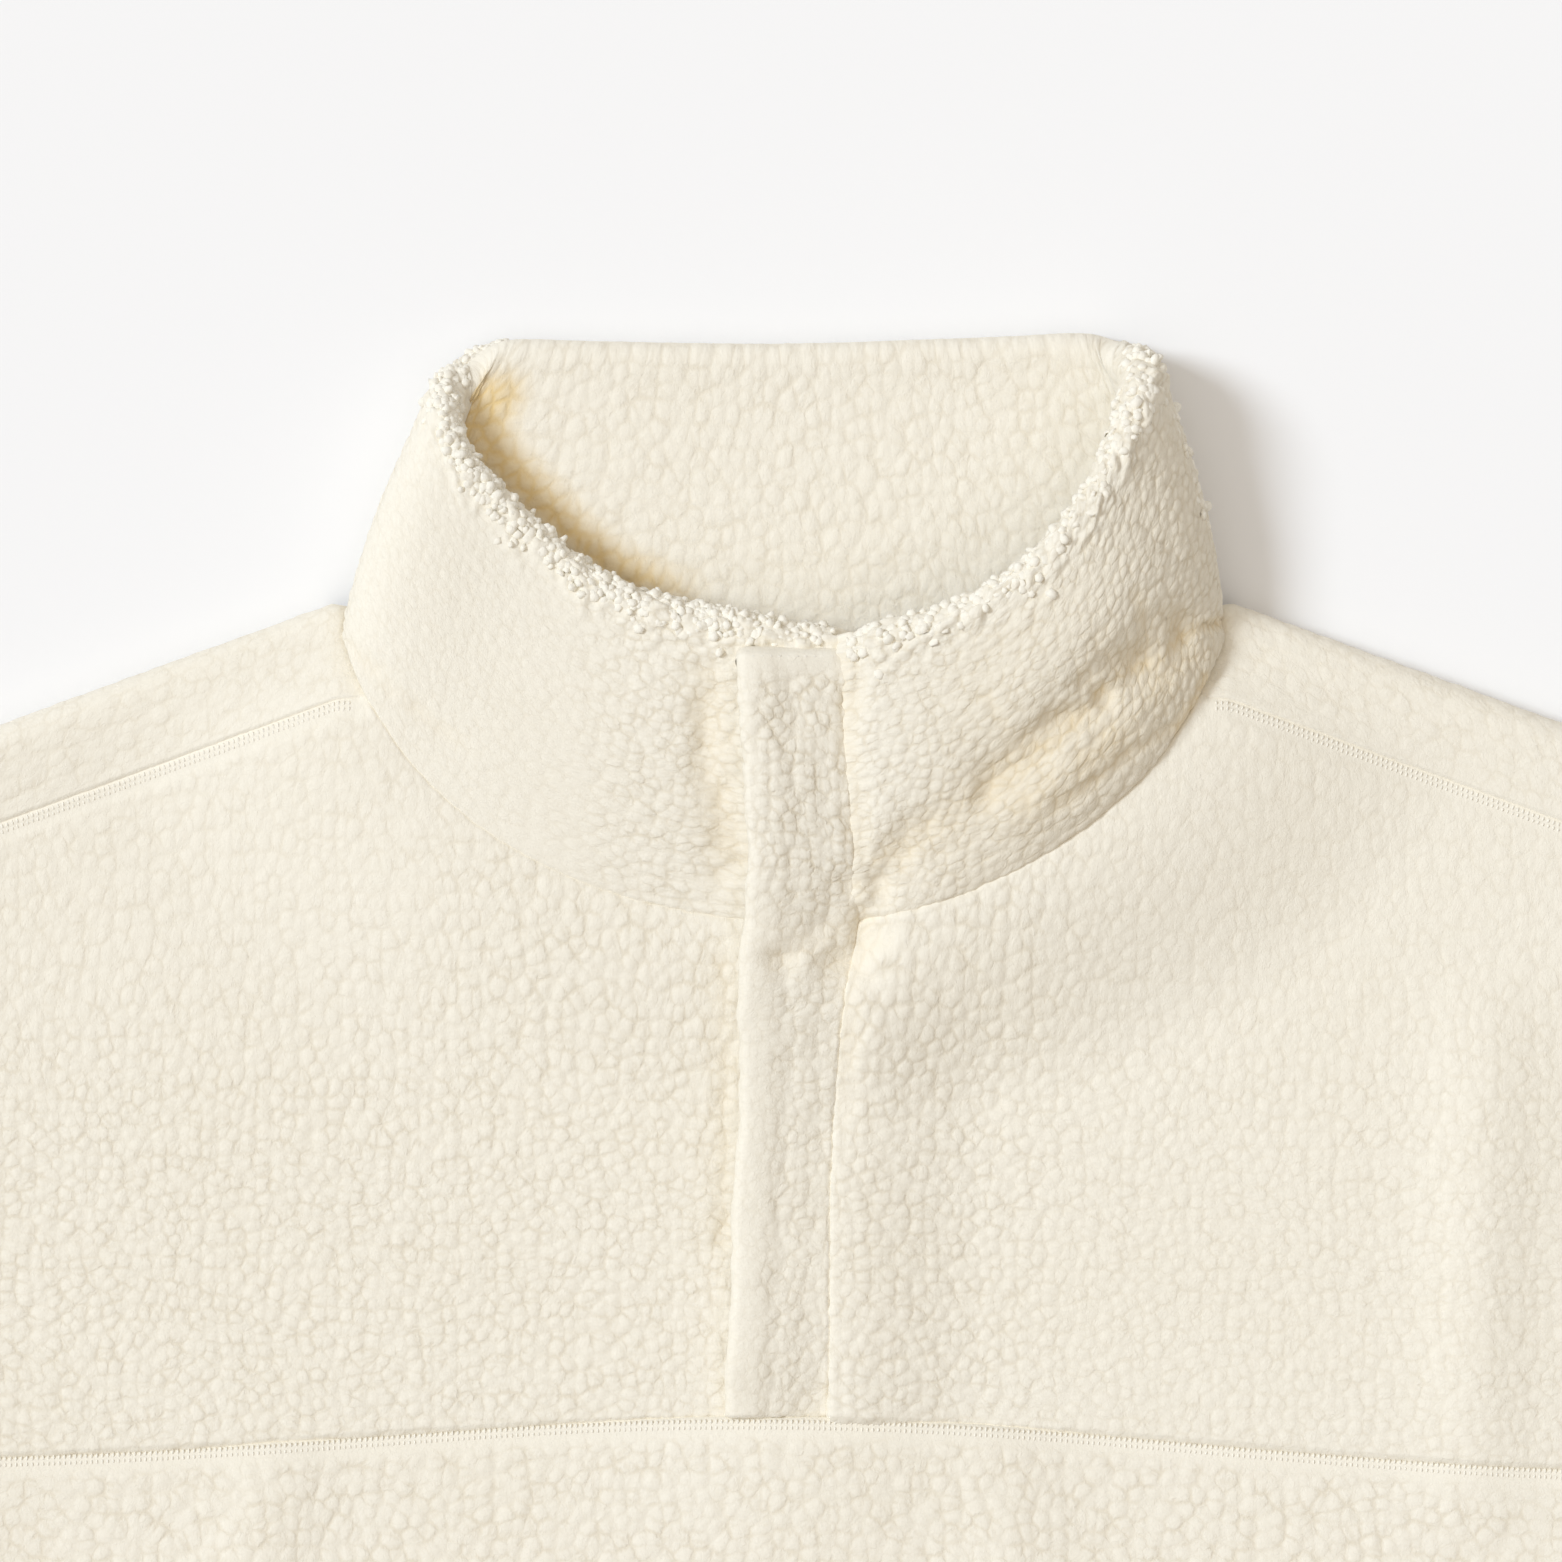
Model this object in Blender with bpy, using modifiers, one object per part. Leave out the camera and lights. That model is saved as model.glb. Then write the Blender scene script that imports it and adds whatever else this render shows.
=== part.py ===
"""Sherpa fleece pullover with a stand collar and a half placket, laid flat on its back.

Sizes and tables are in millimetres and become metres when a mesh is made.
X runs across the body, Y up towards the collar, Z up from the surface it lies on.
Garment heights (Y) count from the high point of the shoulder, where the collar starts.
Left and right are as seen from above.
"""

from collections import namedtuple
import math

import bmesh
import bpy
import numpy as np

MM = 0.001

# Cloth: walls, gaps between pieces, and the roll of a folded edge
WALL = 4.5
SEAM_GAP = 0.3
SIDE_SEAM_GAP = 1.2
UNDERARM_EASE = 2.0
UNDERARM_FADE = 25.0
SHOULDER_SEAM_GAP = 0.6
NECK_CORNER_GAP = 2.0
STRIP_SEAM_GAP = 0.7
NECK_SEAM_GAP = 0.6
LAYER_GAP = 0.8
STRIP_WALL = 6.0
STRIP_CLEARANCE = 0.9
EDGE_RADIUS = 6.0
TOP_LEVEL = 2 * WALL + LAYER_GAP
EDGE_BLEND = 24.0
ROLL_INSET = EDGE_RADIUS * (1 - np.cos(np.radians([90.0, 55.0, 30.0, 16.0, 0.0])))
SLEEVE_INSET = EDGE_RADIUS * (1 - np.cos(np.radians([90.0, 55.0, 25.0, 0.0])))
WELD = 0.01

# A row's height depends on its width and the other way round, so both are worked out in passes
FIT_PASSES = 6
UPPER_START_Y = -90.0
LOWER_START_Y = -450.0
BACK_START_Y = -400.0

# Body: its outline, its neck and its shoulder seams
HIGH_POINT_Y = 316.0
CHEST_HALF = 290.0
HEM_HALF = 284.0
HEM_Y = -700.0
NECK_POINT = 111.0
SHOULDER_HALF = 245.0
SHOULDER_SLOPE = math.tan(math.radians(20.0))
SEAM_FORWARD = 25.0
UNDERARM_Y = -310.0
ARMHOLE_BULGE = 5.0
ARMHOLE_FOLLOW = [1.0, 0.45]
SHOULDER_STRETCH = math.hypot(1.0, SHOULDER_SLOPE)
BACK_NECK_Y = -18.8
BACK_NECK_RISE = 10.4
FLAP_START = 113.0
FLAP_NECK_SHIFT = 3.0
CORNER_REACH = 12.0
NECK_SEAM_HALF = 105.0
NECK_SEAM_MARGIN = 2.0
NECK_REACH = 110.5
NECK_DEPTH = 81.0

# Chest seam
CHEST_SEAM_Y = -204.5
CHEST_SEAM_DROP = 13.0
CHEST_SEAM_REACH = 140.0
CHEST_SEAM_TILT = 0.008

# Rise of the upper layer near the neck and beside the placket
NECK_FADE = 0.65
NECK_HOLD = 30.0
PLACKET_STEP = 5.5
PLACKET_FADE = 38.0
PLACKET_TOP_Y = -82.0
PLACKET_TOP_FADE = 30.0

FLEECE_COLOUR = (0.90, 0.85, 0.74, 1.0)
FLEECE_ROUGHNESS = 0.95

# Placket strip: its free edge, its sewn edge and how far up they are
StripRow = namedtuple("StripRow", "y free_x sewn_x")
STRIP = [
    StripRow(-203.5, -15.0, 11.8),
    StripRow(-175.0, -13.6, 11.8),
    StripRow(-150.0, -12.4, 12.0),
    StripRow(-122.0, -11.2, 13.2),
    StripRow(-100.0, -11.4, 15.6),
    StripRow(-88.0, -11.6, 17.8),
    StripRow(-80.5, -10.6, 18.9),
    StripRow(-65.0, -9.0, 18.2),
    StripRow(-50.0, -9.4, 17.5),
    StripRow(-30.0, -11.2, 16.6),
    StripRow(-12.0, -12.4, 15.8),
]
UNDERLAP = 3.0

# Rise of the lower front under the end of the strip
STRIP_END_X = 8.0
STRIP_END_RISE = 4.0
STRIP_END_REACH = 40.0
STRIP_END_FADE = 60.0

# Outer face of the collar, a row for each section from the right end round to the left one
Section = namedtuple("Section", "base_x base_y base_z rim_x rim_y rim_z swell")
COLLAR = [
    Section(19.7, -80.5, 25.0, 16.5, -8.0, 36.0, 3.0),
    Section(45.0, -73.5, 25.0, 42.0, -1.0, 39.0, 4.0),
    Section(70.0, -60.5, 24.0, 60.0, 10.0, 41.0, 4.0),
    Section(89.0, -45.0, 22.5, 73.0, 24.0, 41.0, 4.0),
    Section(101.0, -29.0, 20.5, 82.0, 40.0, 39.0, 4.0),
    Section(107.5, -17.0, 18.0, 88.0, 53.0, 33.5, 4.0),
    Section(110.5, -9.5, 12.0, 90.5, 61.5, 24.0, 4.0),
    Section(109.0, -7.0, 4.5, 89.0, 65.5, 11.0, 3.0),
    Section(102.0, -8.5, 0.4, 83.5, 67.5, 2.5, 1.0),
    Section(90.0, -11.4, 0.0, 74.0, 68.0, 0.0, 0.0),
    Section(60.0, -15.1, 0.0, 50.0, 67.0, 0.0, 0.0),
    Section(0.0, -18.0, 0.0, 0.0, 65.5, 0.0, 0.0),
    Section(-60.0, -15.1, 0.0, -46.0, 66.0, 0.0, 0.0),
    Section(-90.0, -11.4, 0.0, -64.0, 66.5, 0.0, 0.0),
    Section(-102.0, -8.5, 0.4, -73.0, 66.2, 1.0, 1.0),
    Section(-109.0, -7.0, 4.5, -80.0, 63.5, 5.0, 3.0),
    Section(-110.5, -9.5, 11.5, -84.0, 58.0, 12.0, 3.5),
    Section(-107.5, -17.0, 18.0, -82.5, 49.0, 19.5, 4.0),
    Section(-101.0, -29.0, 20.5, -76.5, 35.7, 22.5, 4.0),
    Section(-89.0, -45.0, 20.5, -62.5, 21.0, 23.5, 4.0),
    Section(-70.0, -60.5, 20.5, -45.5, 7.2, 25.5, 4.0),
    Section(-45.0, -72.5, 20.0, -27.5, 0.3, 27.5, 4.0),
    Section(-20.0, -78.5, 19.7, -8.0, -3.3, 29.3, 3.2),
    Section(0.0, -80.5, 19.5, 2.5, -6.0, 29.5, 3.0),
    Section(15.9, -81.0, 19.5, 12.5, -7.0, 29.5, 3.0),
]
RIGHT_FRONT_SECTIONS = 6
LEFT_FRONT_SECTIONS = 8
COLLAR_STEPS = 2
COLLAR_ROWS = 7

# Sleeve: its upper fold and its under fold, from the armhole to the cuff
SleeveRow = namedtuple("SleeveRow", "upper_x upper_y under_x under_y")
SLEEVE = [
    SleeveRow(245.0, -48.8, 290.0, -310.0),
    SleeveRow(298.0, -79.5, 329.0, -327.0),
    SleeveRow(361.0, -116.0, 376.0, -348.0),
    SleeveRow(434.0, -159.0, 432.0, -373.0),
    SleeveRow(506.0, -204.0, 487.0, -398.0),
    SleeveRow(576.0, -253.0, 541.0, -422.0),
    SleeveRow(643.0, -304.0, 594.0, -444.0),
    SleeveRow(700.0, -351.0, 640.0, -463.0),
    SleeveRow(747.0, -392.0, 678.0, -478.0),
]

# Soft folds in the upper layer: a ridge from one point to another
Fold = namedtuple("Fold", "start_x start_y end_x end_y width height")
BODY_FOLDS = [
    Fold(176.0, -90.0, 172.0, -238.0, 13.0, 3.2),
    Fold(226.0, -110.0, 214.0, -270.0, 15.0, 3.5),
    Fold(-240.0, -120.0, -224.0, -300.0, 20.0, 2.8),
    Fold(-60.0, -360.0, -130.0, -560.0, 26.0, 3.0),
    Fold(95.0, -330.0, 150.0, -600.0, 24.0, 3.5),
    Fold(262.0, -290.0, 180.0, -390.0, 18.0, 4.0),
    Fold(-262.0, -290.0, -190.0, -400.0, 18.0, 4.0),
]
SLEEVE_FOLDS = [
    Fold(300.0, -300.0, 345.0, -180.0, 18.0, 4.0),
    Fold(455.0, -365.0, 500.0, -255.0, 16.0, 4.0),
    Fold(560.0, -400.0, 590.0, -320.0, 12.0, 3.0),
]
COLLAR_FOLDS = [
    Fold(103.0, -20.0, 50.0, -60.0, 10.0, 3.6),
    Fold(95.0, 12.0, 50.0, -36.0, 13.0, 4.0),
]


def smooth(t):
    """An S-shaped step from 0 to 1."""
    t = np.clip(t, 0.0, 1.0)
    return t * t * (3.0 - 2.0 * t)


def spline(rows, steps):
    """Extra rows between the table's rows, on a Catmull-Rom curve through them."""
    points = np.array(rows, dtype=float)
    padded = np.vstack([2 * points[0] - points[1], points, 2 * points[-1] - points[-2]])
    result = []
    for index in range(1, len(padded) - 2):
        before, start, end, after = padded[index - 1:index + 3]
        for step in range(steps):
            t = step / steps
            slope = end - before
            bend = 2 * before - 5 * start + 4 * end - after
            twist = 3 * start - before - 3 * end + after
            result.append(start + 0.5 * t * (slope + t * (bend + t * twist)))
    result.append(points[-1])
    return np.array(result)


def ridge(x, y, folds):
    """Height that the listed folds add at each point."""
    total = np.zeros(np.shape(x))
    for fold in folds:
        along_x = fold.end_x - fold.start_x
        along_y = fold.end_y - fold.start_y
        length = math.hypot(along_x, along_y)
        along = ((x - fold.start_x) * along_x + (y - fold.start_y) * along_y) / length ** 2
        across = ((x - fold.start_x) * along_y - (y - fold.start_y) * along_x) / length
        taper = np.sin(np.pi * np.clip(along, 0.0, 1.0)) ** 0.7
        total = total + fold.height * taper * np.exp(-(across / fold.width) ** 2)
    return total


def under_level(edge):
    """Height of the under face at a distance in from a rolled edge."""
    inward = EDGE_RADIUS - np.clip(edge, 0.0, EDGE_RADIUS)
    return EDGE_RADIUS - np.sqrt(EDGE_RADIUS ** 2 - inward ** 2)


def upper_level(edge):
    """Height of the upper face at a distance in from a rolled edge."""
    inward = EDGE_RADIUS - np.clip(edge, 0.0, EDGE_RADIUS)
    roll = EDGE_RADIUS + np.sqrt(EDGE_RADIUS ** 2 - inward ** 2)
    settle = 2 * EDGE_RADIUS - TOP_LEVEL
    return roll - settle * smooth((edge - EDGE_RADIUS) / EDGE_BLEND)


def shoulder_y(x):
    """The shoulder fold."""
    return -SHOULDER_SLOPE * np.maximum(np.abs(x) - NECK_POINT, 0.0)


def shoulder_seam_y(x):
    """The seam that joins the back to the fronts, forward of the shoulder fold."""
    return shoulder_y(x) - SEAM_FORWARD


def chest_seam_y(x):
    """The seam across the chest, a shallow arch."""
    drop = CHEST_SEAM_DROP * (1.0 - np.exp(-(x / CHEST_SEAM_REACH) ** 2))
    return CHEST_SEAM_Y - drop - CHEST_SEAM_TILT * x


def side_x(y):
    """Half width of the body: the armhole seam, and the side fold below it."""
    top_y = shoulder_y(SHOULDER_HALF)
    t = np.clip((top_y - y) / (top_y - UNDERARM_Y), 0.0, 1.0)
    armhole = SHOULDER_HALF + (CHEST_HALF - SHOULDER_HALF) * t - 4 * ARMHOLE_BULGE * t * (1 - t)
    below = np.clip((UNDERARM_Y - y) / (UNDERARM_Y - HEM_Y), 0.0, 1.0)
    return np.where(y > UNDERARM_Y, armhole, CHEST_HALF + (HEM_HALF - CHEST_HALF) * below)


def under_edge(x, y):
    """Distance in from the side fold or the underarm."""
    to_underarm = np.hypot(CHEST_HALF - np.abs(x), UNDERARM_Y - y)
    return np.maximum(np.where(y > UNDERARM_Y, to_underarm, side_x(y) - np.abs(x)), 0.0)


def body_edge(x, y):
    """Distance in from the body's outline: the shoulder fold, the side fold or the underarm."""
    to_shoulder = (shoulder_y(x) - y) / SHOULDER_STRETCH
    to_neck_point = np.hypot(NECK_POINT - np.abs(x), y)
    to_shoulder = np.where(np.abs(x) < NECK_POINT, to_neck_point, to_shoulder)
    return np.maximum(np.minimum(to_shoulder, under_edge(x, y)), 0.0)


def collar_base(side):
    """The collar's seam on one front, from left to right."""
    base = spline(COLLAR, COLLAR_STEPS)[:, :3]
    if side > 0:
        return base[:RIGHT_FRONT_SECTIONS * COLLAR_STEPS + 1]
    return base[-LEFT_FRONT_SECTIONS * COLLAR_STEPS - 1:]


def neck_seam_y(x, side):
    """The front neck seam below the collar."""
    base = collar_base(side)
    return np.interp(x, base[:, 0], base[:, 1])


def neck_rise(x, y, side):
    """Lift of the upper layer that brings it level with the collar at the neck seam."""
    base = collar_base(side)
    ratio = np.hypot(x / NECK_REACH, np.minimum(y, 0.0) / NECK_DEPTH)
    near_x = x / np.maximum(ratio, 1.0)
    near_y = y / np.maximum(ratio, 1.0)
    level = np.interp(near_x, base[:, 0], base[:, 2])
    plain = upper_level(body_edge(near_x, near_y))
    fade = 1.0 - smooth((ratio - 1.0) / NECK_FADE)
    held = smooth(body_edge(x, y) / NECK_HOLD)
    return np.maximum(level - plain, 0.0) * fade * held


def sewn_x(y):
    """The strip's sewn edge."""
    rows = np.array(STRIP)
    return np.interp(y, rows[:, 0], rows[:, 2])


def free_x(y):
    """The strip's free edge."""
    rows = np.array(STRIP)
    return np.interp(y, rows[:, 0], rows[:, 1])


def front_level(x, y, side):
    """Height of the upper face of the front. The right side steps up beside the strip."""
    level = upper_level(body_edge(x, y)) + neck_rise(x, y, side) + ridge(x, y, BODY_FOLDS)
    if side > 0:
        below_neck = smooth((PLACKET_TOP_Y - y) / PLACKET_TOP_FADE)
        beside = 1.0 - smooth((x - sewn_x(y)) / PLACKET_FADE)
        level = level + PLACKET_STEP * beside * below_neck
    return level


def collar_form(section_steps, rows):
    """Grid of the collar's outer face: a row of points up each section."""
    sections = spline(COLLAR, section_steps)
    v = np.linspace(0.0, 1.0, rows)[:, None]
    base = sections[None, :, 0:3]
    rim = sections[None, :, 3:6]
    grid = base + (rim - base) * v[:, :, None]
    turn = np.gradient(sections[:, 0:3] + sections[:, 3:6], axis=0)
    outward = np.column_stack([turn[:, 2], np.zeros(len(turn)), -turn[:, 0]])
    outward = -outward / np.linalg.norm(outward, axis=1)[:, None]
    swell = sections[None, :, 6] * (4 * v * (1 - v))
    grid = grid + outward[None, :, :] * swell[:, :, None]
    on_top = sections[None, :, 2] > EDGE_RADIUS * 2
    fold = ridge(grid[:, :, 0], grid[:, :, 1], COLLAR_FOLDS)
    grid[:, :, 2] = np.maximum(grid[:, :, 2] + np.where(on_top, fold, 0.0), 0.0)
    return grid


def grid_normals(grid):
    """Unit normals of a grid of points."""
    up = np.gradient(grid, axis=0)
    across = np.gradient(grid, axis=1)
    normal = np.cross(across, up)
    return normal / np.linalg.norm(normal, axis=2)[:, :, None]


def fleece_material(name):
    """Cream fleece."""
    material = bpy.data.materials.new(name)
    material.use_nodes = True
    shader = material.node_tree.nodes["Principled BSDF"]
    shader.inputs["Base Color"].default_value = FLEECE_COLOUR
    shader.inputs["Roughness"].default_value = FLEECE_ROUGHNESS
    shader.inputs["Metallic"].default_value = 0.0
    material.diffuse_color = FLEECE_COLOUR
    return material


def cloth(name, grids, wall, collection):
    """A wall of cloth inside the faces of one or more grids that share their edge points."""
    mesh = bpy.data.meshes.new(name)
    shape = bmesh.new()
    for grid in grids:
        points = [[shape.verts.new(point * MM) for point in row] for row in grid]
        for lower, upper in zip(points, points[1:]):
            for corner in range(len(lower) - 1):
                shape.faces.new((lower[corner], lower[corner + 1], upper[corner + 1], upper[corner]))
    bmesh.ops.remove_doubles(shape, verts=shape.verts, dist=WELD * MM)
    bmesh.ops.translate(shape, verts=shape.verts, vec=(0.0, HIGH_POINT_Y * MM, 0.0))
    shape.to_mesh(mesh)
    shape.free()
    piece = bpy.data.objects.new(name, mesh)
    collection.objects.link(piece)
    mesh.materials.append(fleece_material(name))
    mesh.shade_smooth()
    solid = piece.modifiers.new("wall", "SOLIDIFY")
    solid.thickness = wall * MM
    solid.offset = -1.0
    solid.use_even_offset = True
    return piece


def upper_front(name, side, collection):
    """An upper front from the neck and shoulder seams down to the chest seam."""
    shoulder_share = np.array([0.1, 0.24, 0.42, 0.6, 0.78, 0.9, 1.0])
    down_share = np.array([0.0, 0.06, 0.14, 0.24, 0.36, 0.5, 0.64, 0.76, 0.84, 0.92, 1.0])
    peak = side * NECK_SEAM_HALF
    neck_x = collar_base(side)[:, 0]
    neck_x = neck_x[np.abs(neck_x) < NECK_SEAM_HALF - NECK_SEAM_MARGIN][::side]
    neck_share = np.append((neck_x - neck_x[0]) / (peak - neck_x[0]), 1.0)
    grid = []
    for share in down_share:
        y = np.full(len(neck_share) + len(shoulder_share), UPPER_START_Y)
        for _ in range(FIT_PASSES):
            if side > 0:
                inner = sewn_x(y[0]) + STRIP_SEAM_GAP
            else:
                inner = sewn_x(y[0]) - UNDERLAP
            outer = side * (side_x(y[len(neck_share):]) - SEAM_GAP)
            x = np.concatenate([
                inner + (peak - inner) * neck_share,
                peak + (outer - peak) * shoulder_share,
            ])
            below_neck = np.abs(x) <= NECK_SEAM_HALF
            top = np.where(below_neck, neck_seam_y(x, side) - NECK_SEAM_GAP, shoulder_seam_y(x) - SEAM_GAP)
            y = top + (chest_seam_y(x) + SEAM_GAP - top) * share
        grid.append(np.column_stack([x, y, front_level(x, y, side)]))
    grid = np.array(grid)
    if side > 0:
        grid = grid[::-1]
    return cloth(name, [grid], WALL, collection)


def side_columns(y, shares, start):
    """Distances from the centre of a row's outer columns, the last ones round the side fold.

    The last column stands straight below or above the one before it, at the side seam.
    """
    outline = side_x(y) - np.where(y > UNDERARM_Y, SEAM_GAP, 0.0)
    inset = ROLL_INSET.copy()
    if y[-1] < UNDERARM_Y:
        inset[-1] = inset[-2]
    flat = start + (outline[:len(shares)] - EDGE_RADIUS - start) * shares
    return np.concatenate([flat, outline[len(shares):] - inset])


def underarm_ease(y):
    """How much the side seam opens next to the underarm."""
    return UNDERARM_EASE * math.exp((y - UNDERARM_Y) / UNDERARM_FADE)


def lower_front(collection):
    """The front below the chest seam, rolled at the sides down to the side seams."""
    shares = np.array([0.0, 0.05, 0.11, 0.2, 0.35, 0.52, 0.68, 0.82, 0.93])
    down_share = np.array([0.0, 0.04, 0.1, 0.185, 0.215, 0.27, 0.4, 0.55, 0.7, 0.85, 1.0])
    halves = []
    for side in (-1.0, 1.0):
        half = []
        for share in down_share:
            y = np.full(len(shares) + len(ROLL_INSET), LOWER_START_Y)
            for _ in range(FIT_PASSES):
                x = side * side_columns(y, shares, 0.0)
                top = chest_seam_y(x) - SEAM_GAP
                y = top + (HEM_Y - top) * share
            under_strip = np.exp(-((x - STRIP_END_X) / STRIP_END_REACH) ** 2)
            under_strip = under_strip * (1.0 - smooth((top - y) / STRIP_END_FADE))
            level = upper_level(body_edge(x, y)) + ridge(x, y, BODY_FOLDS) + STRIP_END_RISE * under_strip
            if y[-1] < UNDERARM_Y:
                level[-1] = EDGE_RADIUS + SIDE_SEAM_GAP / 2
            half.append(np.column_stack([x, y, level]))
        halves.append(np.array(half))
    whole = np.concatenate([halves[0][:, :0:-1], halves[1]], axis=1)
    return cloth("front_lower", [whole[::-1]], WALL, collection)


def back_under(side):
    """Half of the back where it lies on the surface, from the hem up to the neck and shoulder."""
    centre = np.array([0.0, 20.0, 45.0, 70.0, 92.0])
    shares = np.array([0.0, 0.12, 0.28, 0.46, 0.64, 0.8, 0.92])
    up_share = np.array([0.0, 0.2, 0.38, 0.5, 0.56, 0.605, 0.68, 0.76, 0.84, 0.91, 0.96, 1.0])
    rows = []
    for share in up_share:
        y = np.full(len(centre) + len(shares) + len(ROLL_INSET), BACK_START_Y)
        for _ in range(FIT_PASSES):
            outer = side_columns(y[len(centre):], shares, FLAP_START)
            x = side * np.concatenate([centre, outer])
            neck = BACK_NECK_Y + BACK_NECK_RISE * (x / FLAP_START) ** 2
            fold = shoulder_y(x) - EDGE_RADIUS * SHOULDER_STRETCH
            top = np.where(np.abs(x) < FLAP_START, neck, fold)
            y = HEM_Y + (top - HEM_Y) * share
        level = under_level(under_edge(x, y))
        if y[-1] < UNDERARM_Y:
            level[-1] = EDGE_RADIUS - SIDE_SEAM_GAP / 2
            level[-3:] -= underarm_ease(y[-1])
        rows.append(np.column_stack([x, y, level]))
    return np.array(rows), len(centre)


def back_flap(start_row, side):
    """The back where it comes over a shoulder, from the under face round to the forward seam."""
    rows = [start_row]
    for angle in np.radians([30.0, 60.0, 90.0, 120.0, 150.0, 180.0]):
        row = start_row.copy()
        row[:, 1] = shoulder_y(row[:, 0]) - EDGE_RADIUS * SHOULDER_STRETCH * (1 - math.sin(angle))
        row[:, 2] = EDGE_RADIUS * (1 - math.cos(angle))
        rows.append(row)
    turned = rows[-1]
    for share in (0.35, 0.7, 1.0):
        row = turned.copy()
        row[0, 0] = side * (FLAP_START - FLAP_NECK_SHIFT * share)
        near_neck = np.exp(-((np.abs(row[:, 0]) - NECK_POINT) / CORNER_REACH) ** 2)
        seam = shoulder_seam_y(row[:, 0]) + SHOULDER_SEAM_GAP + NECK_CORNER_GAP * near_neck
        row[:, 1] += (seam - turned[:, 1]) * share
        row[:, 2] = upper_level(body_edge(row[:, 0], row[:, 1])) + neck_rise(row[:, 0], row[:, 1], side)
        rows.append(row)
    flap = np.array(rows)
    outer = slice(-len(ROLL_INSET), None)
    flap[1:, outer, 0] = side * (side_x(flap[1:, outer, 1]) - SEAM_GAP - ROLL_INSET)
    return flap


def back(collection):
    """The back: flat on the surface, with a flap over each shoulder."""
    right, flap_column = back_under(1.0)
    left = right * np.array([-1.0, 1.0, 1.0])
    right_flap = back_flap(right[-1, flap_column:].copy(), 1.0)
    left_flap = back_flap(left[-1, flap_column:].copy(), -1.0)
    whole = np.concatenate([left[:, :0:-1], right], axis=1)
    return cloth("back", [whole[::-1], right_flap[::-1], left_flap], WALL, collection)


def sleeve(name, side, collection):
    """A sleeve, a flattened tube from the armhole to the open cuff."""
    across = np.array([0.15, 0.32, 0.5, 0.68, 0.85])
    grid = []
    for row in np.array(SLEEVE):
        upper = row[:2]
        under = row[2:]
        width = np.linalg.norm(upper - under)
        inset = np.concatenate([SLEEVE_INSET[::-1], across * width, width - SLEEVE_INSET])
        place = under + (upper - under) * (inset / width)[:, None]
        edge = np.minimum(inset, width - inset)
        high = upper_level(edge) + ridge(place[:, 0], place[:, 1], SLEEVE_FOLDS)
        ring_high = np.column_stack([place, high])
        ring_low = np.column_stack([place, under_level(edge)])
        grid.append(np.concatenate([ring_high, ring_low[-2::-1]]))
    grid = np.array(grid)
    top_y = shoulder_y(SHOULDER_HALF)
    for index, share in enumerate(ARMHOLE_FOLLOW):
        t = np.clip((top_y - grid[index, :, 1]) / (top_y - UNDERARM_Y), 0.0, 1.0)
        grid[index, :, 0] += share * (SEAM_GAP - 4 * ARMHOLE_BULGE * t * (1 - t))
    leaning = np.maximum(-grid_normals(grid)[0, :, 0], 0.0)
    grid[0, :, 0] += WALL * leaning
    grid[:, :, 0] *= side
    if side > 0:
        grid = grid[::-1]
    return cloth(name, [grid], WALL, collection)


def strip_seat(y):
    """Height of what the strip lies on: the left collar end, then the left front."""
    left = COLLAR[-2]
    v = np.clip((y - left.base_y) / (left.rim_y - left.base_y), 0.0, 1.0)
    on_collar = left.base_z + (left.rim_z - left.base_z) * v + left.swell * 4 * v * (1 - v)
    on_front = front_level(np.full(np.shape(y), 0.0), np.minimum(y, left.base_y), -1)
    return np.where(y > left.base_y, on_collar, on_front)


def placket_strip(collection):
    """The strip down the opening, sewn at its right edge and free at its left one."""
    heights = np.array(STRIP)[:, 0]
    heights = np.sort(np.concatenate([heights, (heights[1:] + heights[:-1]) / 2]))
    across = np.linspace(0.0, 1.0, 4)
    grid = []
    for y in heights:
        level = strip_seat(np.array([y]))[0] + STRIP_CLEARANCE + STRIP_WALL
        x = free_x(y) + (sewn_x(y) - free_x(y)) * across
        bottom = np.maximum(y, chest_seam_y(x) + SEAM_GAP)
        grid.append(np.column_stack([x, bottom, np.full(len(x), level)]))
    return cloth("placket_strip", [np.array(grid)], STRIP_WALL, collection)


def collar(collection):
    """The outer and the inner collar, one inside the other."""
    outer = collar_form(COLLAR_STEPS, COLLAR_ROWS)
    normals = grid_normals(outer)
    inner = outer - normals * (WALL + SEAM_GAP)
    cloth("collar_outer", [outer], WALL, collection)
    cloth("collar_inner", [inner], WALL, collection)


def clear_scene():
    """Remove every object that is already in the file."""
    for old in list(bpy.data.objects):
        bpy.data.objects.remove(old, do_unlink=True)


def main():
    clear_scene()
    collection = bpy.data.collections.new("sherpa_fleece_pullover")
    bpy.context.scene.collection.children.link(collection)
    back(collection)
    upper_front("front_upper_left", -1, collection)
    upper_front("front_upper_right", 1, collection)
    lower_front(collection)
    placket_strip(collection)
    collar(collection)
    sleeve("sleeve_left", -1, collection)
    sleeve("sleeve_right", 1, collection)


main()
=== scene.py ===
"""The looks of the sherpa fleece pullover: nubbed fleece panels, stitching, floor, light and camera.

Forms are worked out in millimetres, with the same tables as the part, and become metres in the meshes.
X runs across the body, Y up towards the collar, Z up from the surface it lies on.
Garment heights (Y) count from the high point of the shoulder. Left and right are as seen from above.
"""

from collections import namedtuple
import math

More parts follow.
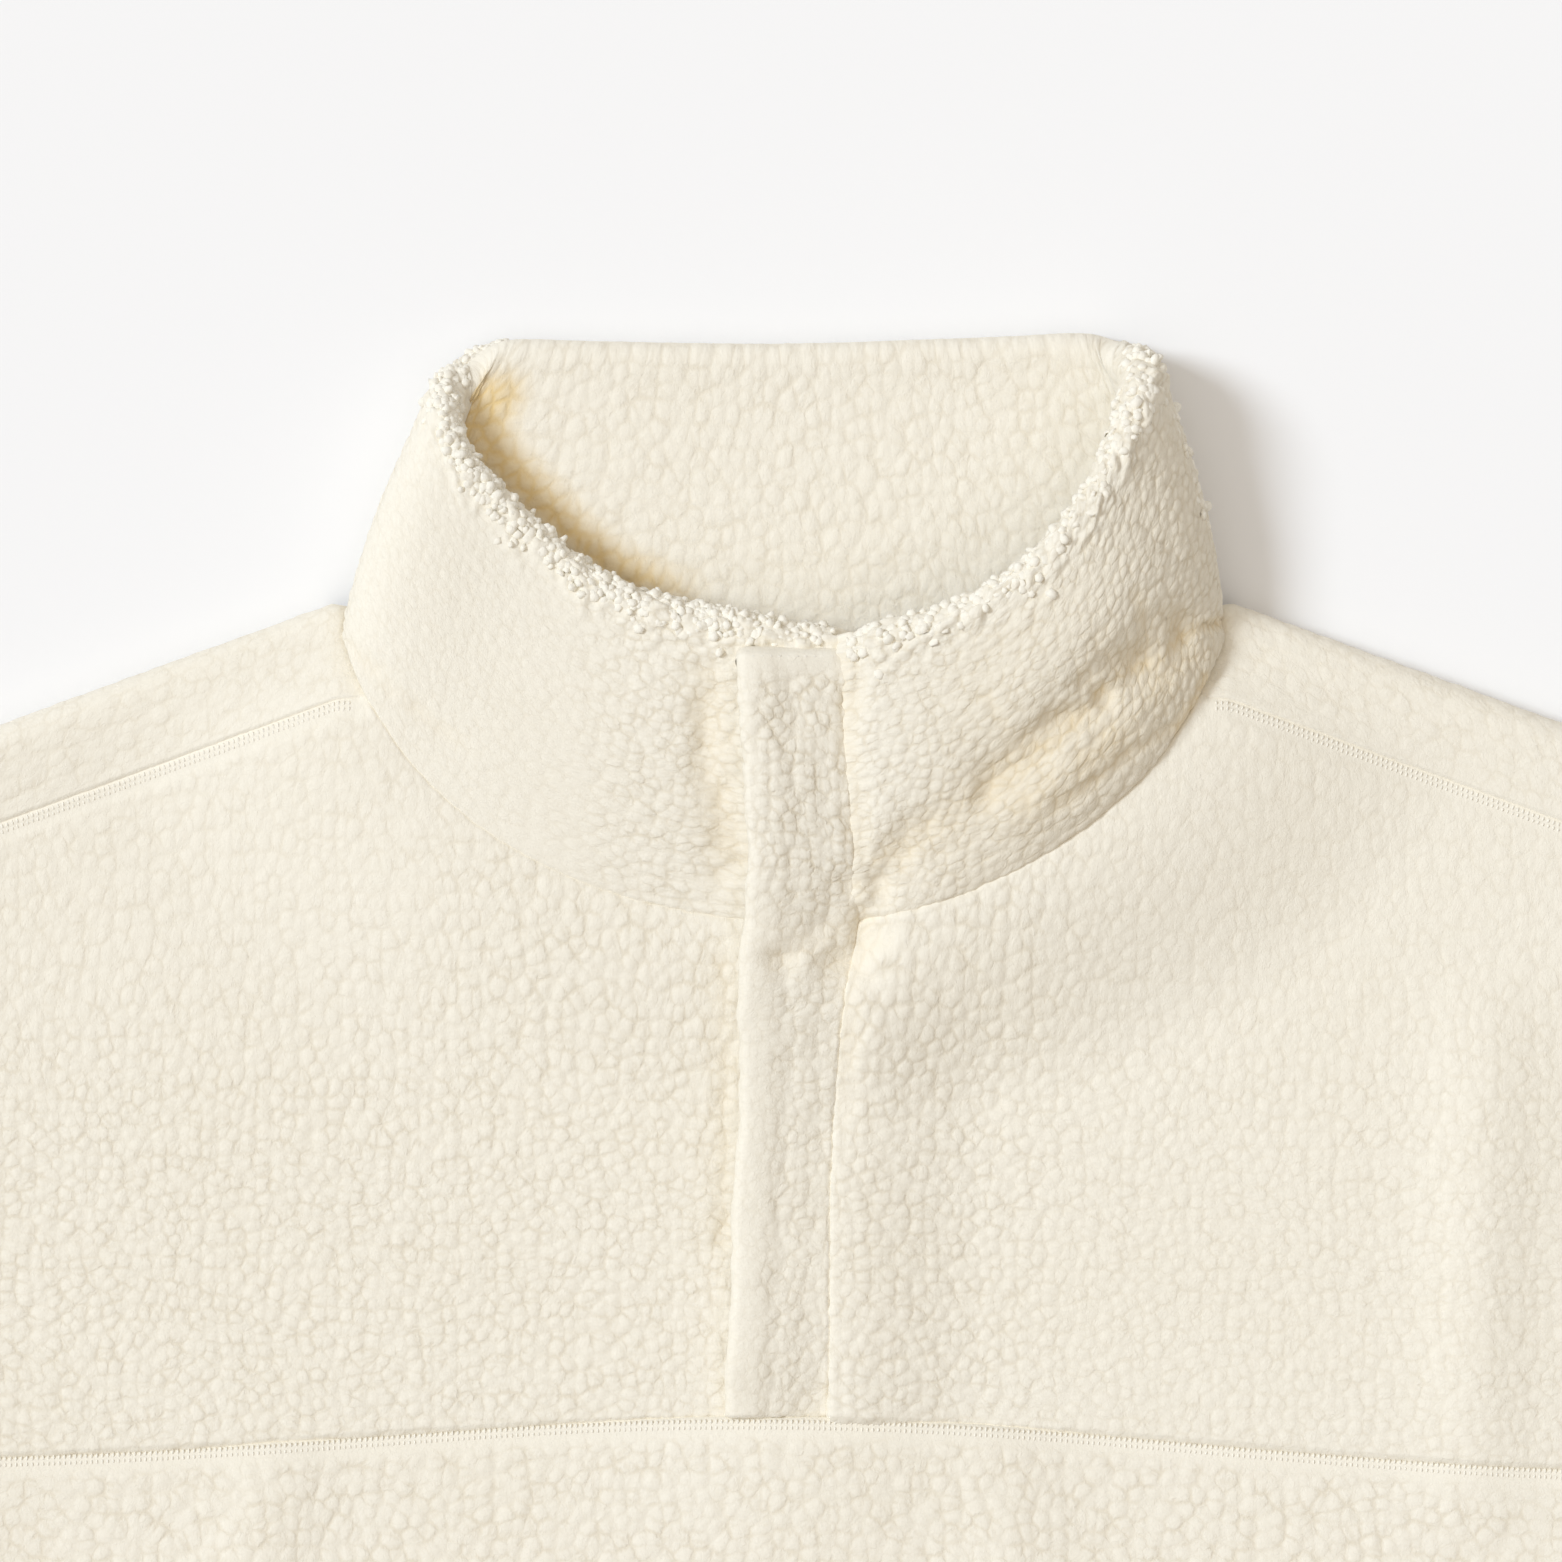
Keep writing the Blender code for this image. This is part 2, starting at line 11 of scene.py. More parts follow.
import bpy
import numpy as np
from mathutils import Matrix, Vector


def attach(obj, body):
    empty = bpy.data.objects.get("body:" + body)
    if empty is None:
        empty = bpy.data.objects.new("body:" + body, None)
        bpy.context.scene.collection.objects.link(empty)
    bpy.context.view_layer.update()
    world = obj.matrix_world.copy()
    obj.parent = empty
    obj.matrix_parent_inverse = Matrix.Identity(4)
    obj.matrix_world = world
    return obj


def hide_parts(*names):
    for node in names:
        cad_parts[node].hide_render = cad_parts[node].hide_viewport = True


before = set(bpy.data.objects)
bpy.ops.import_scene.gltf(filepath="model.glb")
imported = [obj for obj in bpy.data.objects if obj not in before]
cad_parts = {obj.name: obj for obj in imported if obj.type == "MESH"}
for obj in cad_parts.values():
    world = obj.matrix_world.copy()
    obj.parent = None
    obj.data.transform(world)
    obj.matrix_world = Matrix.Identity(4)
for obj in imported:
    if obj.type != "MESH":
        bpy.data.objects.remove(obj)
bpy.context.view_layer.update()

MM = 0.001
HIGH_POINT_Y = 316.0

# Cloth, as in the part
WALL = 4.5
SEAM_GAP = 0.3
LAYER_GAP = 0.8
STRIP_WALL = 6.0
STRIP_CLEARANCE = 0.9
EDGE_RADIUS = 6.0
TOP_LEVEL = 2 * WALL + LAYER_GAP
EDGE_BLEND = 24.0
COLLAR_WALL = 2 * WALL + SEAM_GAP
FIT_PASSES = 6

# Body outline, as in the part
CHEST_HALF = 290.0
HEM_HALF = 284.0
HEM_Y = -700.0
NECK_POINT = 111.0
SHOULDER_HALF = 245.0
SHOULDER_SLOPE = math.tan(math.radians(20.0))
SHOULDER_STRETCH = math.hypot(1.0, SHOULDER_SLOPE)
SEAM_FORWARD = 25.0
UNDERARM_Y = -310.0
ARMHOLE_BULGE = 5.0
BACK_NECK_Y = -18.8
BACK_NECK_RISE = 10.4
FLAP_START = 113.0
FLAP_NECK_SHIFT = 3.0
NECK_SEAM_HALF = 105.0
NECK_REACH = 110.5
NECK_DEPTH = 81.0
CHEST_SEAM_Y = -204.5
CHEST_SEAM_DROP = 13.0
CHEST_SEAM_REACH = 140.0
CHEST_SEAM_TILT = 0.008
NECK_FADE = 0.65
PLACKET_STEP = 5.5
PLACKET_FADE = 38.0
UNDERLAP = 3.0
STRIP_END_X = 8.0
STRIP_END_RISE = 4.0
STRIP_END_REACH = 40.0
STRIP_END_FADE = 60.0

StripRow = namedtuple("StripRow", "y free_x sewn_x")
STRIP = [
    StripRow(-203.5, -15.0, 11.8),
    StripRow(-175.0, -13.6, 11.8),
    StripRow(-150.0, -12.4, 12.0),
    StripRow(-122.0, -11.2, 13.2),
    StripRow(-100.0, -11.4, 15.6),
    StripRow(-88.0, -11.6, 17.8),
    StripRow(-80.5, -10.6, 18.9),
    StripRow(-65.0, -9.0, 18.2),
    StripRow(-50.0, -9.4, 17.5),
    StripRow(-30.0, -11.2, 16.6),
    StripRow(-12.0, -12.4, 15.8),
]

Section = namedtuple("Section", "base_x base_y base_z rim_x rim_y rim_z swell")
COLLAR = [
    Section(19.7, -80.5, 25.0, 16.5, -8.0, 36.0, 3.0),
    Section(45.0, -73.5, 25.0, 42.0, -1.0, 39.0, 4.0),
    Section(70.0, -60.5, 24.0, 60.0, 10.0, 41.0, 4.0),
    Section(89.0, -45.0, 22.5, 73.0, 24.0, 41.0, 4.0),
    Section(101.0, -29.0, 20.5, 82.0, 40.0, 39.0, 4.0),
    Section(107.5, -17.0, 18.0, 88.0, 53.0, 33.5, 4.0),
    Section(110.5, -9.5, 12.0, 90.5, 61.5, 24.0, 4.0),
    Section(109.0, -7.0, 4.5, 89.0, 65.5, 11.0, 3.0),
    Section(102.0, -8.5, 0.4, 83.5, 67.5, 2.5, 1.0),
    Section(90.0, -11.4, 0.0, 74.0, 68.0, 0.0, 0.0),
    Section(60.0, -15.1, 0.0, 50.0, 67.0, 0.0, 0.0),
    Section(0.0, -18.0, 0.0, 0.0, 65.5, 0.0, 0.0),
    Section(-60.0, -15.1, 0.0, -46.0, 66.0, 0.0, 0.0),
    Section(-90.0, -11.4, 0.0, -64.0, 66.5, 0.0, 0.0),
    Section(-102.0, -8.5, 0.4, -73.0, 66.2, 1.0, 1.0),
    Section(-109.0, -7.0, 4.5, -80.0, 63.5, 5.0, 3.0),
    Section(-110.5, -9.5, 11.5, -84.0, 58.0, 12.0, 3.5),
    Section(-107.5, -17.0, 18.0, -82.5, 49.0, 19.5, 4.0),
    Section(-101.0, -29.0, 20.5, -76.5, 35.7, 22.5, 4.0),
    Section(-89.0, -45.0, 20.5, -62.5, 21.0, 23.5, 4.0),
    Section(-70.0, -60.5, 20.5, -45.5, 7.2, 25.5, 4.0),
    Section(-45.0, -72.5, 20.0, -27.5, 0.3, 27.5, 4.0),
    Section(-20.0, -78.5, 19.7, -8.0, -3.3, 29.3, 3.2),
    Section(0.0, -80.5, 19.5, 2.5, -6.0, 29.5, 3.0),
    Section(15.9, -81.0, 19.5, 12.5, -7.0, 29.5, 3.0),
]

SleeveRow = namedtuple("SleeveRow", "upper_x upper_y under_x under_y")
SLEEVE = [
    SleeveRow(245.0, -48.8, 290.0, -310.0),
    SleeveRow(298.0, -79.5, 329.0, -327.0),
    SleeveRow(361.0, -116.0, 376.0, -348.0),
    SleeveRow(434.0, -159.0, 432.0, -373.0),
    SleeveRow(506.0, -204.0, 487.0, -398.0),
    SleeveRow(576.0, -253.0, 541.0, -422.0),
    SleeveRow(643.0, -304.0, 594.0, -444.0),
    SleeveRow(700.0, -351.0, 640.0, -463.0),
    SleeveRow(747.0, -392.0, 678.0, -478.0),
]

Fold = namedtuple("Fold", "start_x start_y end_x end_y width height")
BODY_FOLDS = [
    Fold(176.0, -90.0, 172.0, -238.0, 13.0, 3.2),
    Fold(226.0, -110.0, 214.0, -270.0, 15.0, 3.5),
    Fold(-240.0, -120.0, -224.0, -300.0, 20.0, 2.8),
    Fold(-60.0, -360.0, -130.0, -560.0, 26.0, 3.0),
    Fold(95.0, -330.0, 150.0, -600.0, 24.0, 3.5),
    Fold(262.0, -290.0, 180.0, -390.0, 18.0, 4.0),
    Fold(-262.0, -290.0, -190.0, -400.0, 18.0, 4.0),
]
SLEEVE_FOLDS = [
    Fold(300.0, -300.0, 345.0, -180.0, 18.0, 4.0),
    Fold(455.0, -365.0, 500.0, -255.0, 16.0, 4.0),
    Fold(560.0, -400.0, 590.0, -320.0, 12.0, 3.0),
]
COLLAR_FOLDS = [
    Fold(103.0, -20.0, 50.0, -60.0, 10.0, 3.6),
    Fold(95.0, 12.0, 50.0, -36.0, 13.0, 4.0),
]
LOWER_FOLDS = [
    Fold(-122.0, -190.0, -150.0, -330.0, 12.0, 2.0),
    Fold(52.0, -190.0, 66.0, -345.0, 13.0, 2.0),
    Fold(205.0, -420.0, 120.0, -520.0, 17.0, 2.6),
    Fold(-30.0, -600.0, -140.0, -640.0, 15.0, 2.0),
    Fold(235.0, -560.0, 215.0, -690.0, 16.0, 2.4),
]
LEFT_SLEEVE_FOLDS = [
    Fold(318.0, -290.0, 338.0, -160.0, 15.0, 3.4),
    Fold(372.0, -310.0, 420.0, -215.0, 11.0, 1.8),
    Fold(478.0, -372.0, 505.0, -250.0, 18.0, 4.0),
    Fold(600.0, -425.0, 640.0, -345.0, 11.0, 2.4),
]
UNDER_FOLDS = [
    Fold(-150.0, -110.0, -70.0, -420.0, 22.0, 2.4),
    Fold(118.0, -180.0, 190.0, -520.0, 26.0, 2.2),
    Fold(20.0, -470.0, -90.0, -650.0, 20.0, 2.0),
    Fold(-212.0, -330.0, -190.0, -600.0, 24.0, 2.4),
    Fold(55.0, -60.0, 88.0, -250.0, 18.0, 1.8),
    Fold(345.0, -300.0, 390.0, -200.0, 15.0, 2.2),
    Fold(-380.0, -320.0, -430.0, -225.0, 17.0, 2.4),
    Fold(520.0, -380.0, 575.0, -300.0, 14.0, 2.0),
    Fold(-600.0, -425.0, -655.0, -350.0, 13.0, 1.8),
]

# Mesh spacing: close together where the camera sees the cloth, wider beyond and underneath
FINE = 0.9
LOWER_FINE = 1.2 * FINE
BACK_FINE = 1.6 * FINE
COLLAR_FINE = 0.78
STRIP_FINE = 0.85
FAR = 2.2
BACK_FAR = 1.2 * FAR
COARSE = 3.2
CLOSE_HALF = 205.0
CLOSE_Y = -245.0
UPPER_LENGTH = 185.0
LOWER_LENGTH = 500.0
COLLAR_HEIGHT = 82.0
STRIP_WIDTH = 27.0
STRIP_BOTTOM = -204.0
STRIP_TOP = -12.0
SLEEVE_COLUMNS = 76

# The lower front's close stretch and its wide spacing, as shares of its half width and of its length
LOWER_CLOSE = (0.68, 0.09)
LOWER_COARSE = (0.011, 0.0068)

# Fleece: sizes of the nubs and how far they stand up
CELL = 3.9
CELL_CLUMP = 9.0
RANDOMNESS = 0.85
NUB = 0.46
CLUMP = 0.3
FLANK = 0.9
CLUMP_FLANK = 1.4
DOME_REACH = 3.0
NOISE_CELLS = 64

# Colours of the wool on its nubs, of the painted shade in its creases and of the painted golden shade in the
# deepest pits
WOOL_DARK = (0.872, 0.822, 0.705, 1.0)
WOOL_LIGHT = (0.893, 0.848, 0.74, 1.0)
# Painted light: a lighter wool for the loose curls, in place of the light that shines through them
CURLS_LIGHT_COLOUR = (0.925, 0.892, 0.80, 1.0)
CREASE_SHADE_COLOUR = (0.66, 0.565, 0.40, 1.0)
PIT_SHADE_COLOUR = (0.78, 0.59, 0.29, 1.0)

# How wide and ragged the creases between nubs look, how dark their painted shade is, how strong the broad
# painted shade is, and how deep they bump
CREASE_WIDTH = 1.15
CLUMP_WIDTH = 1.1
RAGGED = 1.5
CREASE_SHADE_STRENGTH = 0.36
# Strength of the broad painted shade on the right side of the collar
PAINTED_SHADE = 0.2
CREASE_BUMP = 0.13
CURL_BUMP = 0.22

# Heights on the bake map of the back and of its two flaps
BAKE_BANDS = ((0.0, 0.83), (0.84, 0.91), (0.92, 1.0))

# Collar rim: how it swells, and where round it the outer and the inner collar meet
RIM_SWELL = 1.6
RIM_REACH = 11.0
FRONT_MEET = 0.9
BACK_MEET = 0.42

# Tufts of pile along the rim. Each ring is a share of a tuft's length and of its width
TUFT = 1.5
TUFT_COUNT = 1150
TUFT_LENGTHS = (1.0, 1.75)
TUFT_WIDTHS = (0.95, 1.75)
TUFT_BEND = 0.6
TUFT_SIDES = 5
TUFT_RINGS = ((0.0, 0.8), (0.4, 1.0), (0.8, 0.85), (1.02, 0.48))

# Placket strip
STRIP_TURN = 2.4
STRIP_TILT = 2.4
STRIP_END_SINK = 3.4

# Hems, flat bands beside seams, and the uneven line of the outline
HEM_RADIUS = 2.2
HEM_DEPTH = 12.0
SEAM_BAND = 3.6
SEAM_SINK = 1.0
SHOULDER_BAND = 3.0
SHOULDER_SINK = 0.55
BAND_FADE = 2.5
DRIFT = 6.0
DRIFT_SIZES = (105.0, 90.0)
DRIFT_FADE = 70.0

# How rounded the cloth's edges are at its seams
NECK_EDGE = 0.35
FLAP_EDGE = 0.9
UPPER_EDGE = 1.1
LOWER_EDGE = 0.8
STRIP_EDGE = 0.8
STRIP_END_EDGE = 1.0
ARMHOLE_EDGE = 2.4

# Stitches. Each ring is a share of a stitch's length, a share of the thread's radius, and a height
STITCH_PITCH = 1.35
STITCH_LENGTH = 1.25
THREAD_RADIUS = 0.32
THREAD_SIDES = 5
STITCH_RINGS = (
    (-0.5, 0.3, -0.25),
    (-0.34, 0.85, -0.12),
    (0.0, 1.0, -0.05),
    (0.34, 0.85, -0.12),
    (0.5, 0.3, -0.25),
)
THREAD = (0.89, 0.85, 0.755, 1.0)
CHEST_ROWS = (0.85, 2.35)
SHOULDER_ROWS = (0.9, 2.2)

# Where two pieces meet, the cloth turns down in steps: how far out each is, and how far down
SKIRT = ((0.45, 1.3), (0.9, 3.6))
SOFT_SKIRT = ((0.8, 0.5), (1.5, 3.2))
STRIP_LAP = ((1.6, 0.5), (3.4, 1.9), (4.0, 3.6))
COLLAR_END = ((1.5, 0.7), (3.4, 2.4), (4.2, 5.0))
COLLAR_UNDERLAP = ((3.2, 0.5), (5.0, 3.5))
COLLAR_FLANGE = ((4.6, 4.4), (4.0, 2.2), (2.8, 0.95), (1.4, 0.25))
ARMHOLE_TUCK = ((1.2, 0.7), (3.2, 2.6))
NECK_TUCK = ((1.0, 2.6), (0.7, 0.8), (0.35, 0.2))

# Floor, light and camera, in metres
FLOOR_SIZE = 6.0
FLOOR_LEVEL = -0.0004
FLOOR_COLOUR = (0.90, 0.90, 0.90, 1.0)
SURROUND = (0.465, 0.433, 0.397, 1.0)
KEY_COLOUR = (0.82, 0.90, 1.0)
KEY_TOWARDS = (1.0, -0.28, -1.05)
ABOVE_COLOUR = (1.0, 0.93, 0.853)
EYE = (-0.0005, 0.2707, 2.4)
FOCUS_LEVEL = 0.010
SEEN_WIDTH = 0.3905
SENSOR_WIDTH = 36.0

# Small creases, as lines of points on the garment seen from above, each with its width, its depth and the
# strength of its painted golden shade
Crease = namedtuple("Crease", "points width depth gold")
DIP = Crease([(21, -73), (18, -84), (16, -90)], 7.5, 4.8, 0.18)
BESIDE = Crease([(16.6, -12), (17, -35), (18.5, -52), (19.5, -66)], 3.4, 2.4, 0.15)
COLLAR_CREASES = [
    Crease([(110, -6), (103.4, -8.2), (93.9, -15.9), (82.4, -20.7), (75, -28.5), (69, -35.5), (62.3, -38)],
           2.3, 1.8, 0.45),
    Crease([(66, -36.5), (59.4, -44), (48.9, -48.4), (36, -57), (23, -66)], 2.2, 1.2, 0.3),
    Crease([(105.5, -20), (103.9, -25), (98.7, -31.7)], 2.4, 1.0, 0.8),
    Crease([(98.7, -31.7), (86.7, -37.9), (77, -46), (66, -53)], 2.2, 1.1, 0.25),
    Crease([(93.9, -15.9), (91, -11), (87.7, 0.9)], 2.0, 0.8, 0.25),
    Crease([(75, -28.5), (74, -18), (80, -8)], 2.0, 0.7, 0.15),
    Crease([(62.3, -38), (55, -33), (50, -24)], 2.0, 0.7, 0.12),
    Crease([(-108, -12), (-96, -24), (-80, -36)], 2.4, 1.0, 0.1),
    Crease([(-18, -22), (-16, -44), (-14, -64)], 6.5, 2.8, 0.2),
    Crease([(28, -64), (50, -49), (75, -28), (98, -8)], 7.0, 3.2, 0.26),
    Crease([(60, -52), (85, -32), (104, -12)], 7.0, 0.6, 0.24),
    DIP,
    BESIDE,
]
BODY_CREASES = [
    DIP,
    Crease([(17, -90), (16, -105), (14.5, -125)], 4.5, 1.8, 0.12),
    Crease([(-15, -90), (-14, -120), (-15, -160)], 3.0, 1.0, 0.12),
]
STRIP_CREASES = [
    DIP,
    Crease([(16, -80), (9, -85), (0, -89)], 4.5, 2.6, 0.15),
    BESIDE,
    Crease([(2, -22), (4, -30)], 3.0, 0.7, 0.0),
]


def smooth(t):
    """An S-shaped step from 0 to 1."""
    t = np.clip(t, 0.0, 1.0)
    return t * t * (3.0 - 2.0 * t)


def spline(rows, steps):
    """Extra rows between the table's rows, on a Catmull-Rom curve through them."""
    points = np.array(rows, dtype=float)
    padded = np.vstack([2 * points[0] - points[1], points, 2 * points[-1] - points[-2]])
    result = []
    for index in range(1, len(padded) - 2):
        before, start, end, after = padded[index - 1:index + 3]
        for step in range(steps):
            t = step / steps
            slope = end - before
            bend = 2 * before - 5 * start + 4 * end - after
            twist = 3 * start - before - 3 * end + after
            result.append(start + 0.5 * t * (slope + t * (bend + t * twist)))
    result.append(points[-1])
    return np.array(result)


def resample(rows, length_columns, spacing):
    """Rows at even spacing along the curve that the given columns draw."""
    steps = np.linalg.norm(np.diff(rows[:, length_columns], axis=0), axis=1)
    along = np.concatenate([[0.0], np.cumsum(steps)])
    count = int(along[-1] / spacing) + 1
    wanted = np.linspace(0.0, along[-1], count)
    return np.column_stack([np.interp(wanted, along, column) for column in rows.T])


def ridge(x, y, folds):
    """Height that the listed folds add at each point."""
    total = np.zeros(np.shape(x))
    for fold in folds:
        along_x = fold.end_x - fold.start_x
        along_y = fold.end_y - fold.start_y
        length = math.hypot(along_x, along_y)
        along = ((x - fold.start_x) * along_x + (y - fold.start_y) * along_y) / length ** 2
        across = ((x - fold.start_x) * along_y - (y - fold.start_y) * along_x) / length
        taper = np.sin(np.pi * np.clip(along, 0.0, 1.0)) ** 0.7
        total = total + fold.height * taper * np.exp(-(across / fold.width) ** 2)
    return total


def under_level(edge):
    """Height of the under face at a distance in from a rolled edge."""
    inward = EDGE_RADIUS - np.clip(edge, 0.0, EDGE_RADIUS)
    return EDGE_RADIUS - np.sqrt(EDGE_RADIUS ** 2 - inward ** 2)


def upper_level(edge):
    """Height of the upper face at a distance in from a rolled edge."""
    inward = EDGE_RADIUS - np.clip(edge, 0.0, EDGE_RADIUS)
    roll = EDGE_RADIUS + np.sqrt(EDGE_RADIUS ** 2 - inward ** 2)
    settle = 2 * EDGE_RADIUS - TOP_LEVEL
    return roll - settle * smooth((edge - EDGE_RADIUS) / EDGE_BLEND)


def shoulder_y(x):
    """The shoulder fold."""
    return -SHOULDER_SLOPE * np.maximum(np.abs(x) - NECK_POINT, 0.0)


def shoulder_seam_y(x):
    """The seam that joins the back to the fronts, forward of the shoulder fold."""
    return shoulder_y(x) - SEAM_FORWARD


def chest_seam_y(x):
    """The seam across the chest, a shallow arch."""
    drop = CHEST_SEAM_DROP * (1.0 - np.exp(-(x / CHEST_SEAM_REACH) ** 2))
    return CHEST_SEAM_Y - drop - CHEST_SEAM_TILT * x


def side_x(y):
    """Half width of the body: the armhole seam, and the side fold below it."""
    top_y = shoulder_y(SHOULDER_HALF)
    t = np.clip((top_y - y) / (top_y - UNDERARM_Y), 0.0, 1.0)
    armhole = SHOULDER_HALF + (CHEST_HALF - SHOULDER_HALF) * t - 4 * ARMHOLE_BULGE * t * (1 - t)
    below = np.clip((UNDERARM_Y - y) / (UNDERARM_Y - HEM_Y), 0.0, 1.0)
    return np.where(y > UNDERARM_Y, armhole, CHEST_HALF + (HEM_HALF - CHEST_HALF) * below)


def under_edge(x, y):
    """Distance in from the side fold or the underarm."""
    to_underarm = np.hypot(CHEST_HALF - np.abs(x), UNDERARM_Y - y)
    return np.maximum(np.where(y > UNDERARM_Y, to_underarm, side_x(y) - np.abs(x)), 0.0)


def body_edge(x, y):
    """Distance in from the body's outline: the shoulder fold, the side fold or the underarm."""
    to_shoulder = (shoulder_y(x) - y) / SHOULDER_STRETCH
    to_neck_point = np.hypot(NECK_POINT - np.abs(x), y)
    to_shoulder = np.where(np.abs(x) < NECK_POINT, to_neck_point, to_shoulder)
    return np.maximum(np.minimum(to_shoulder, under_edge(x, y)), 0.0)


COLLAR_BASE = spline(COLLAR, 12)[:, :3]
FRONT_BASE = {1: COLLAR_BASE[:6 * 12 + 1], -1: COLLAR_BASE[-8 * 12 - 1:]}


def neck_seam_y(x, side):
    """The front neck seam below the collar."""
    base = FRONT_BASE[side]
    return np.interp(x, base[:, 0], base[:, 1])


def neck_rise(x, y, side):
    """Lift of the upper layer that brings it level with the collar at the neck seam."""
    base = FRONT_BASE[side]
    ratio = np.hypot(x / NECK_REACH, np.minimum(y, 0.0) / NECK_DEPTH)
    near_x = x / np.maximum(ratio, 1.0)
    near_y = y / np.maximum(ratio, 1.0)
    level = np.interp(near_x, base[:, 0], base[:, 2])
    plain = upper_level(body_edge(near_x, near_y))
    fade = 1.0 - smooth((ratio - 1.0) / NECK_FADE)
    held = smooth(body_edge(x, y) / (5 * EDGE_RADIUS))
    return np.maximum(level - plain, 0.0) * fade * held


STRIP_ROWS = np.array(STRIP)


def sewn_x(y):
    """The strip's sewn edge."""
    return np.interp(y, STRIP_ROWS[:, 0], STRIP_ROWS[:, 2])


def free_x(y):
    """The strip's free edge."""
    return np.interp(y, STRIP_ROWS[:, 0], STRIP_ROWS[:, 1])


def front_level(x, y, side):
    """Height of the upper face of the front. The right side steps up beside the strip."""
    level = upper_level(body_edge(x, y)) + neck_rise(x, y, side) + ridge(x, y, BODY_FOLDS)
    if side > 0:
        below_neck = smooth((-82.0 - y) / 30.0)
        beside = 1.0 - smooth((x - sewn_x(y)) / PLACKET_FADE)
        level = level + PLACKET_STEP * beside * below_neck
    return level


def soft_noise(x, y, size, seed):
    """Smooth noise from -1 to 1 that changes over about the given size."""
    lattice = np.random.default_rng(seed).uniform(-1.0, 1.0, (NOISE_CELLS, NOISE_CELLS))
    cell_x = np.floor(x / size).astype(int)
    cell_y = np.floor(y / size).astype(int)
    share_x = smooth(x / size - cell_x)
    share_y = smooth(y / size - cell_y)
    near = cell_x % NOISE_CELLS
    far = (cell_x + 1) % NOISE_CELLS
    low = cell_y % NOISE_CELLS
    high = (cell_y + 1) % NOISE_CELLS
    below = lattice[near, low] * (1 - share_x) + lattice[far, low] * share_x
    above = lattice[near, high] * (1 - share_x) + lattice[far, high] * share_x
    return below * (1 - share_y) + above * share_y


def drift(points):
    """Points moved a little sideways, away from the collar and chest, so that no edge is dead straight."""
    x, y = points[:, 0].copy(), points[:, 1].copy()
    away = smooth((np.abs(x) - CLOSE_HALF) / DRIFT_FADE)
    away = np.maximum(away, smooth((CLOSE_Y - y) / DRIFT_FADE))
    points[:, 0] += DRIFT * away * soft_noise(x, y, DRIFT_SIZES[0], 81)
    points[:, 1] += DRIFT * away * soft_noise(x, y, DRIFT_SIZES[1], 82)
    return points


def edge_drop(distance, radius):
    """How far a rounded seam edge falls at a distance in from it."""
    inward = radius - np.clip(distance, 0.0, radius)
    return radius - np.sqrt(radius ** 2 - inward ** 2)


def grid_normals(grid):
    """Unit normals of a grid of points, upwards where rows go up and columns go right."""
    up = np.gradient(grid, axis=0)
    across = np.gradient(grid, axis=1)
    return unit(np.cross(across, up))


def unit(vectors):
    """The vectors at length 1."""
    return vectors / np.maximum(np.linalg.norm(vectors, axis=-1, keepdims=True), 1e-12)


def from_row(grid, row):
    """Distance of each point of a grid from its column's point in the given row."""
    return np.linalg.norm(grid - grid[row], axis=2)


def wrapped(grid, normals, radius, depth, spacing):
    """Rows that turn under past the last row of a grid and run back inside it."""
    edge = grid[-1]
    outward = unit(edge - grid[-2])
    rows = []
    for angle in np.linspace(0.0, math.pi, max(int(math.pi * radius / spacing), 3) + 1)[1:]:
        rows.append(edge + outward * radius * math.sin(angle) - normals * radius * (1 - math.cos(angle)))
    for back in np.arange(spacing, depth, spacing):
        rows.append(edge - normals * 2 * radius - outward * back)
    return np.concatenate([grid, np.array(rows)])


def skirted(grid, amp, sides, steps=SKIRT):
    """The grid and its nub heights, with an edge that turns out and down at the named sides."""
    for side in sides:
        sideways = side in ("left", "right")
        order = -1 if side in ("bottom", "left") else 1
        turned = (grid.transpose(1, 0, 2) if sideways else grid)[::order]
        heights = (amp.T if sideways else amp)[::order]
        outward = turned[-1] - turned[-2]
        outward[:, 2] = 0.0
        outward = unit(outward)
        rows = [turned[-1] + outward * lean - np.array([0.0, 0.0, fall]) for lean, fall in steps]
        turned = np.concatenate([turned, np.array(rows)])
        heights = np.pad(heights, ((0, len(rows)), (0, 0)), mode="edge")
        turned = turned[::order]
        heights = heights[::order]
        grid = turned.transpose(1, 0, 2) if sideways else turned
        amp = heights.T if sideways else heights
    return grid, amp


def trough(x, y, creases):
    """How deep the small creases are at each point, and how strong their painted golden shade is."""
    depth = np.zeros(np.shape(x))
    gold = np.zeros(np.shape(x))
    uneven = 0.8 + 0.45 * soft_noise(x, y, 5.0, 71)
    for crease in creases:
        distance = np.full(np.shape(x), 1000.0)
        points = np.array(crease.points, dtype=float)
        for first, last in zip(points, points[1:]):
            step = last - first
            t = np.clip(((x - first[0]) * step[0] + (y - first[1]) * step[1]) / (step @ step), 0.0, 1.0)
            distance = np.minimum(distance, np.hypot(x - first[0] - t * step[0], y - first[1] - t * step[1]))
        depth = np.maximum(depth, crease.depth * np.exp(-(distance / crease.width) ** 2) * uneven)
        gold = np.maximum(gold, crease.gold * np.exp(-(distance / (0.8 * crease.width)) ** 2) * uneven)
    return depth, np.clip(gold, 0.0, 1.0)


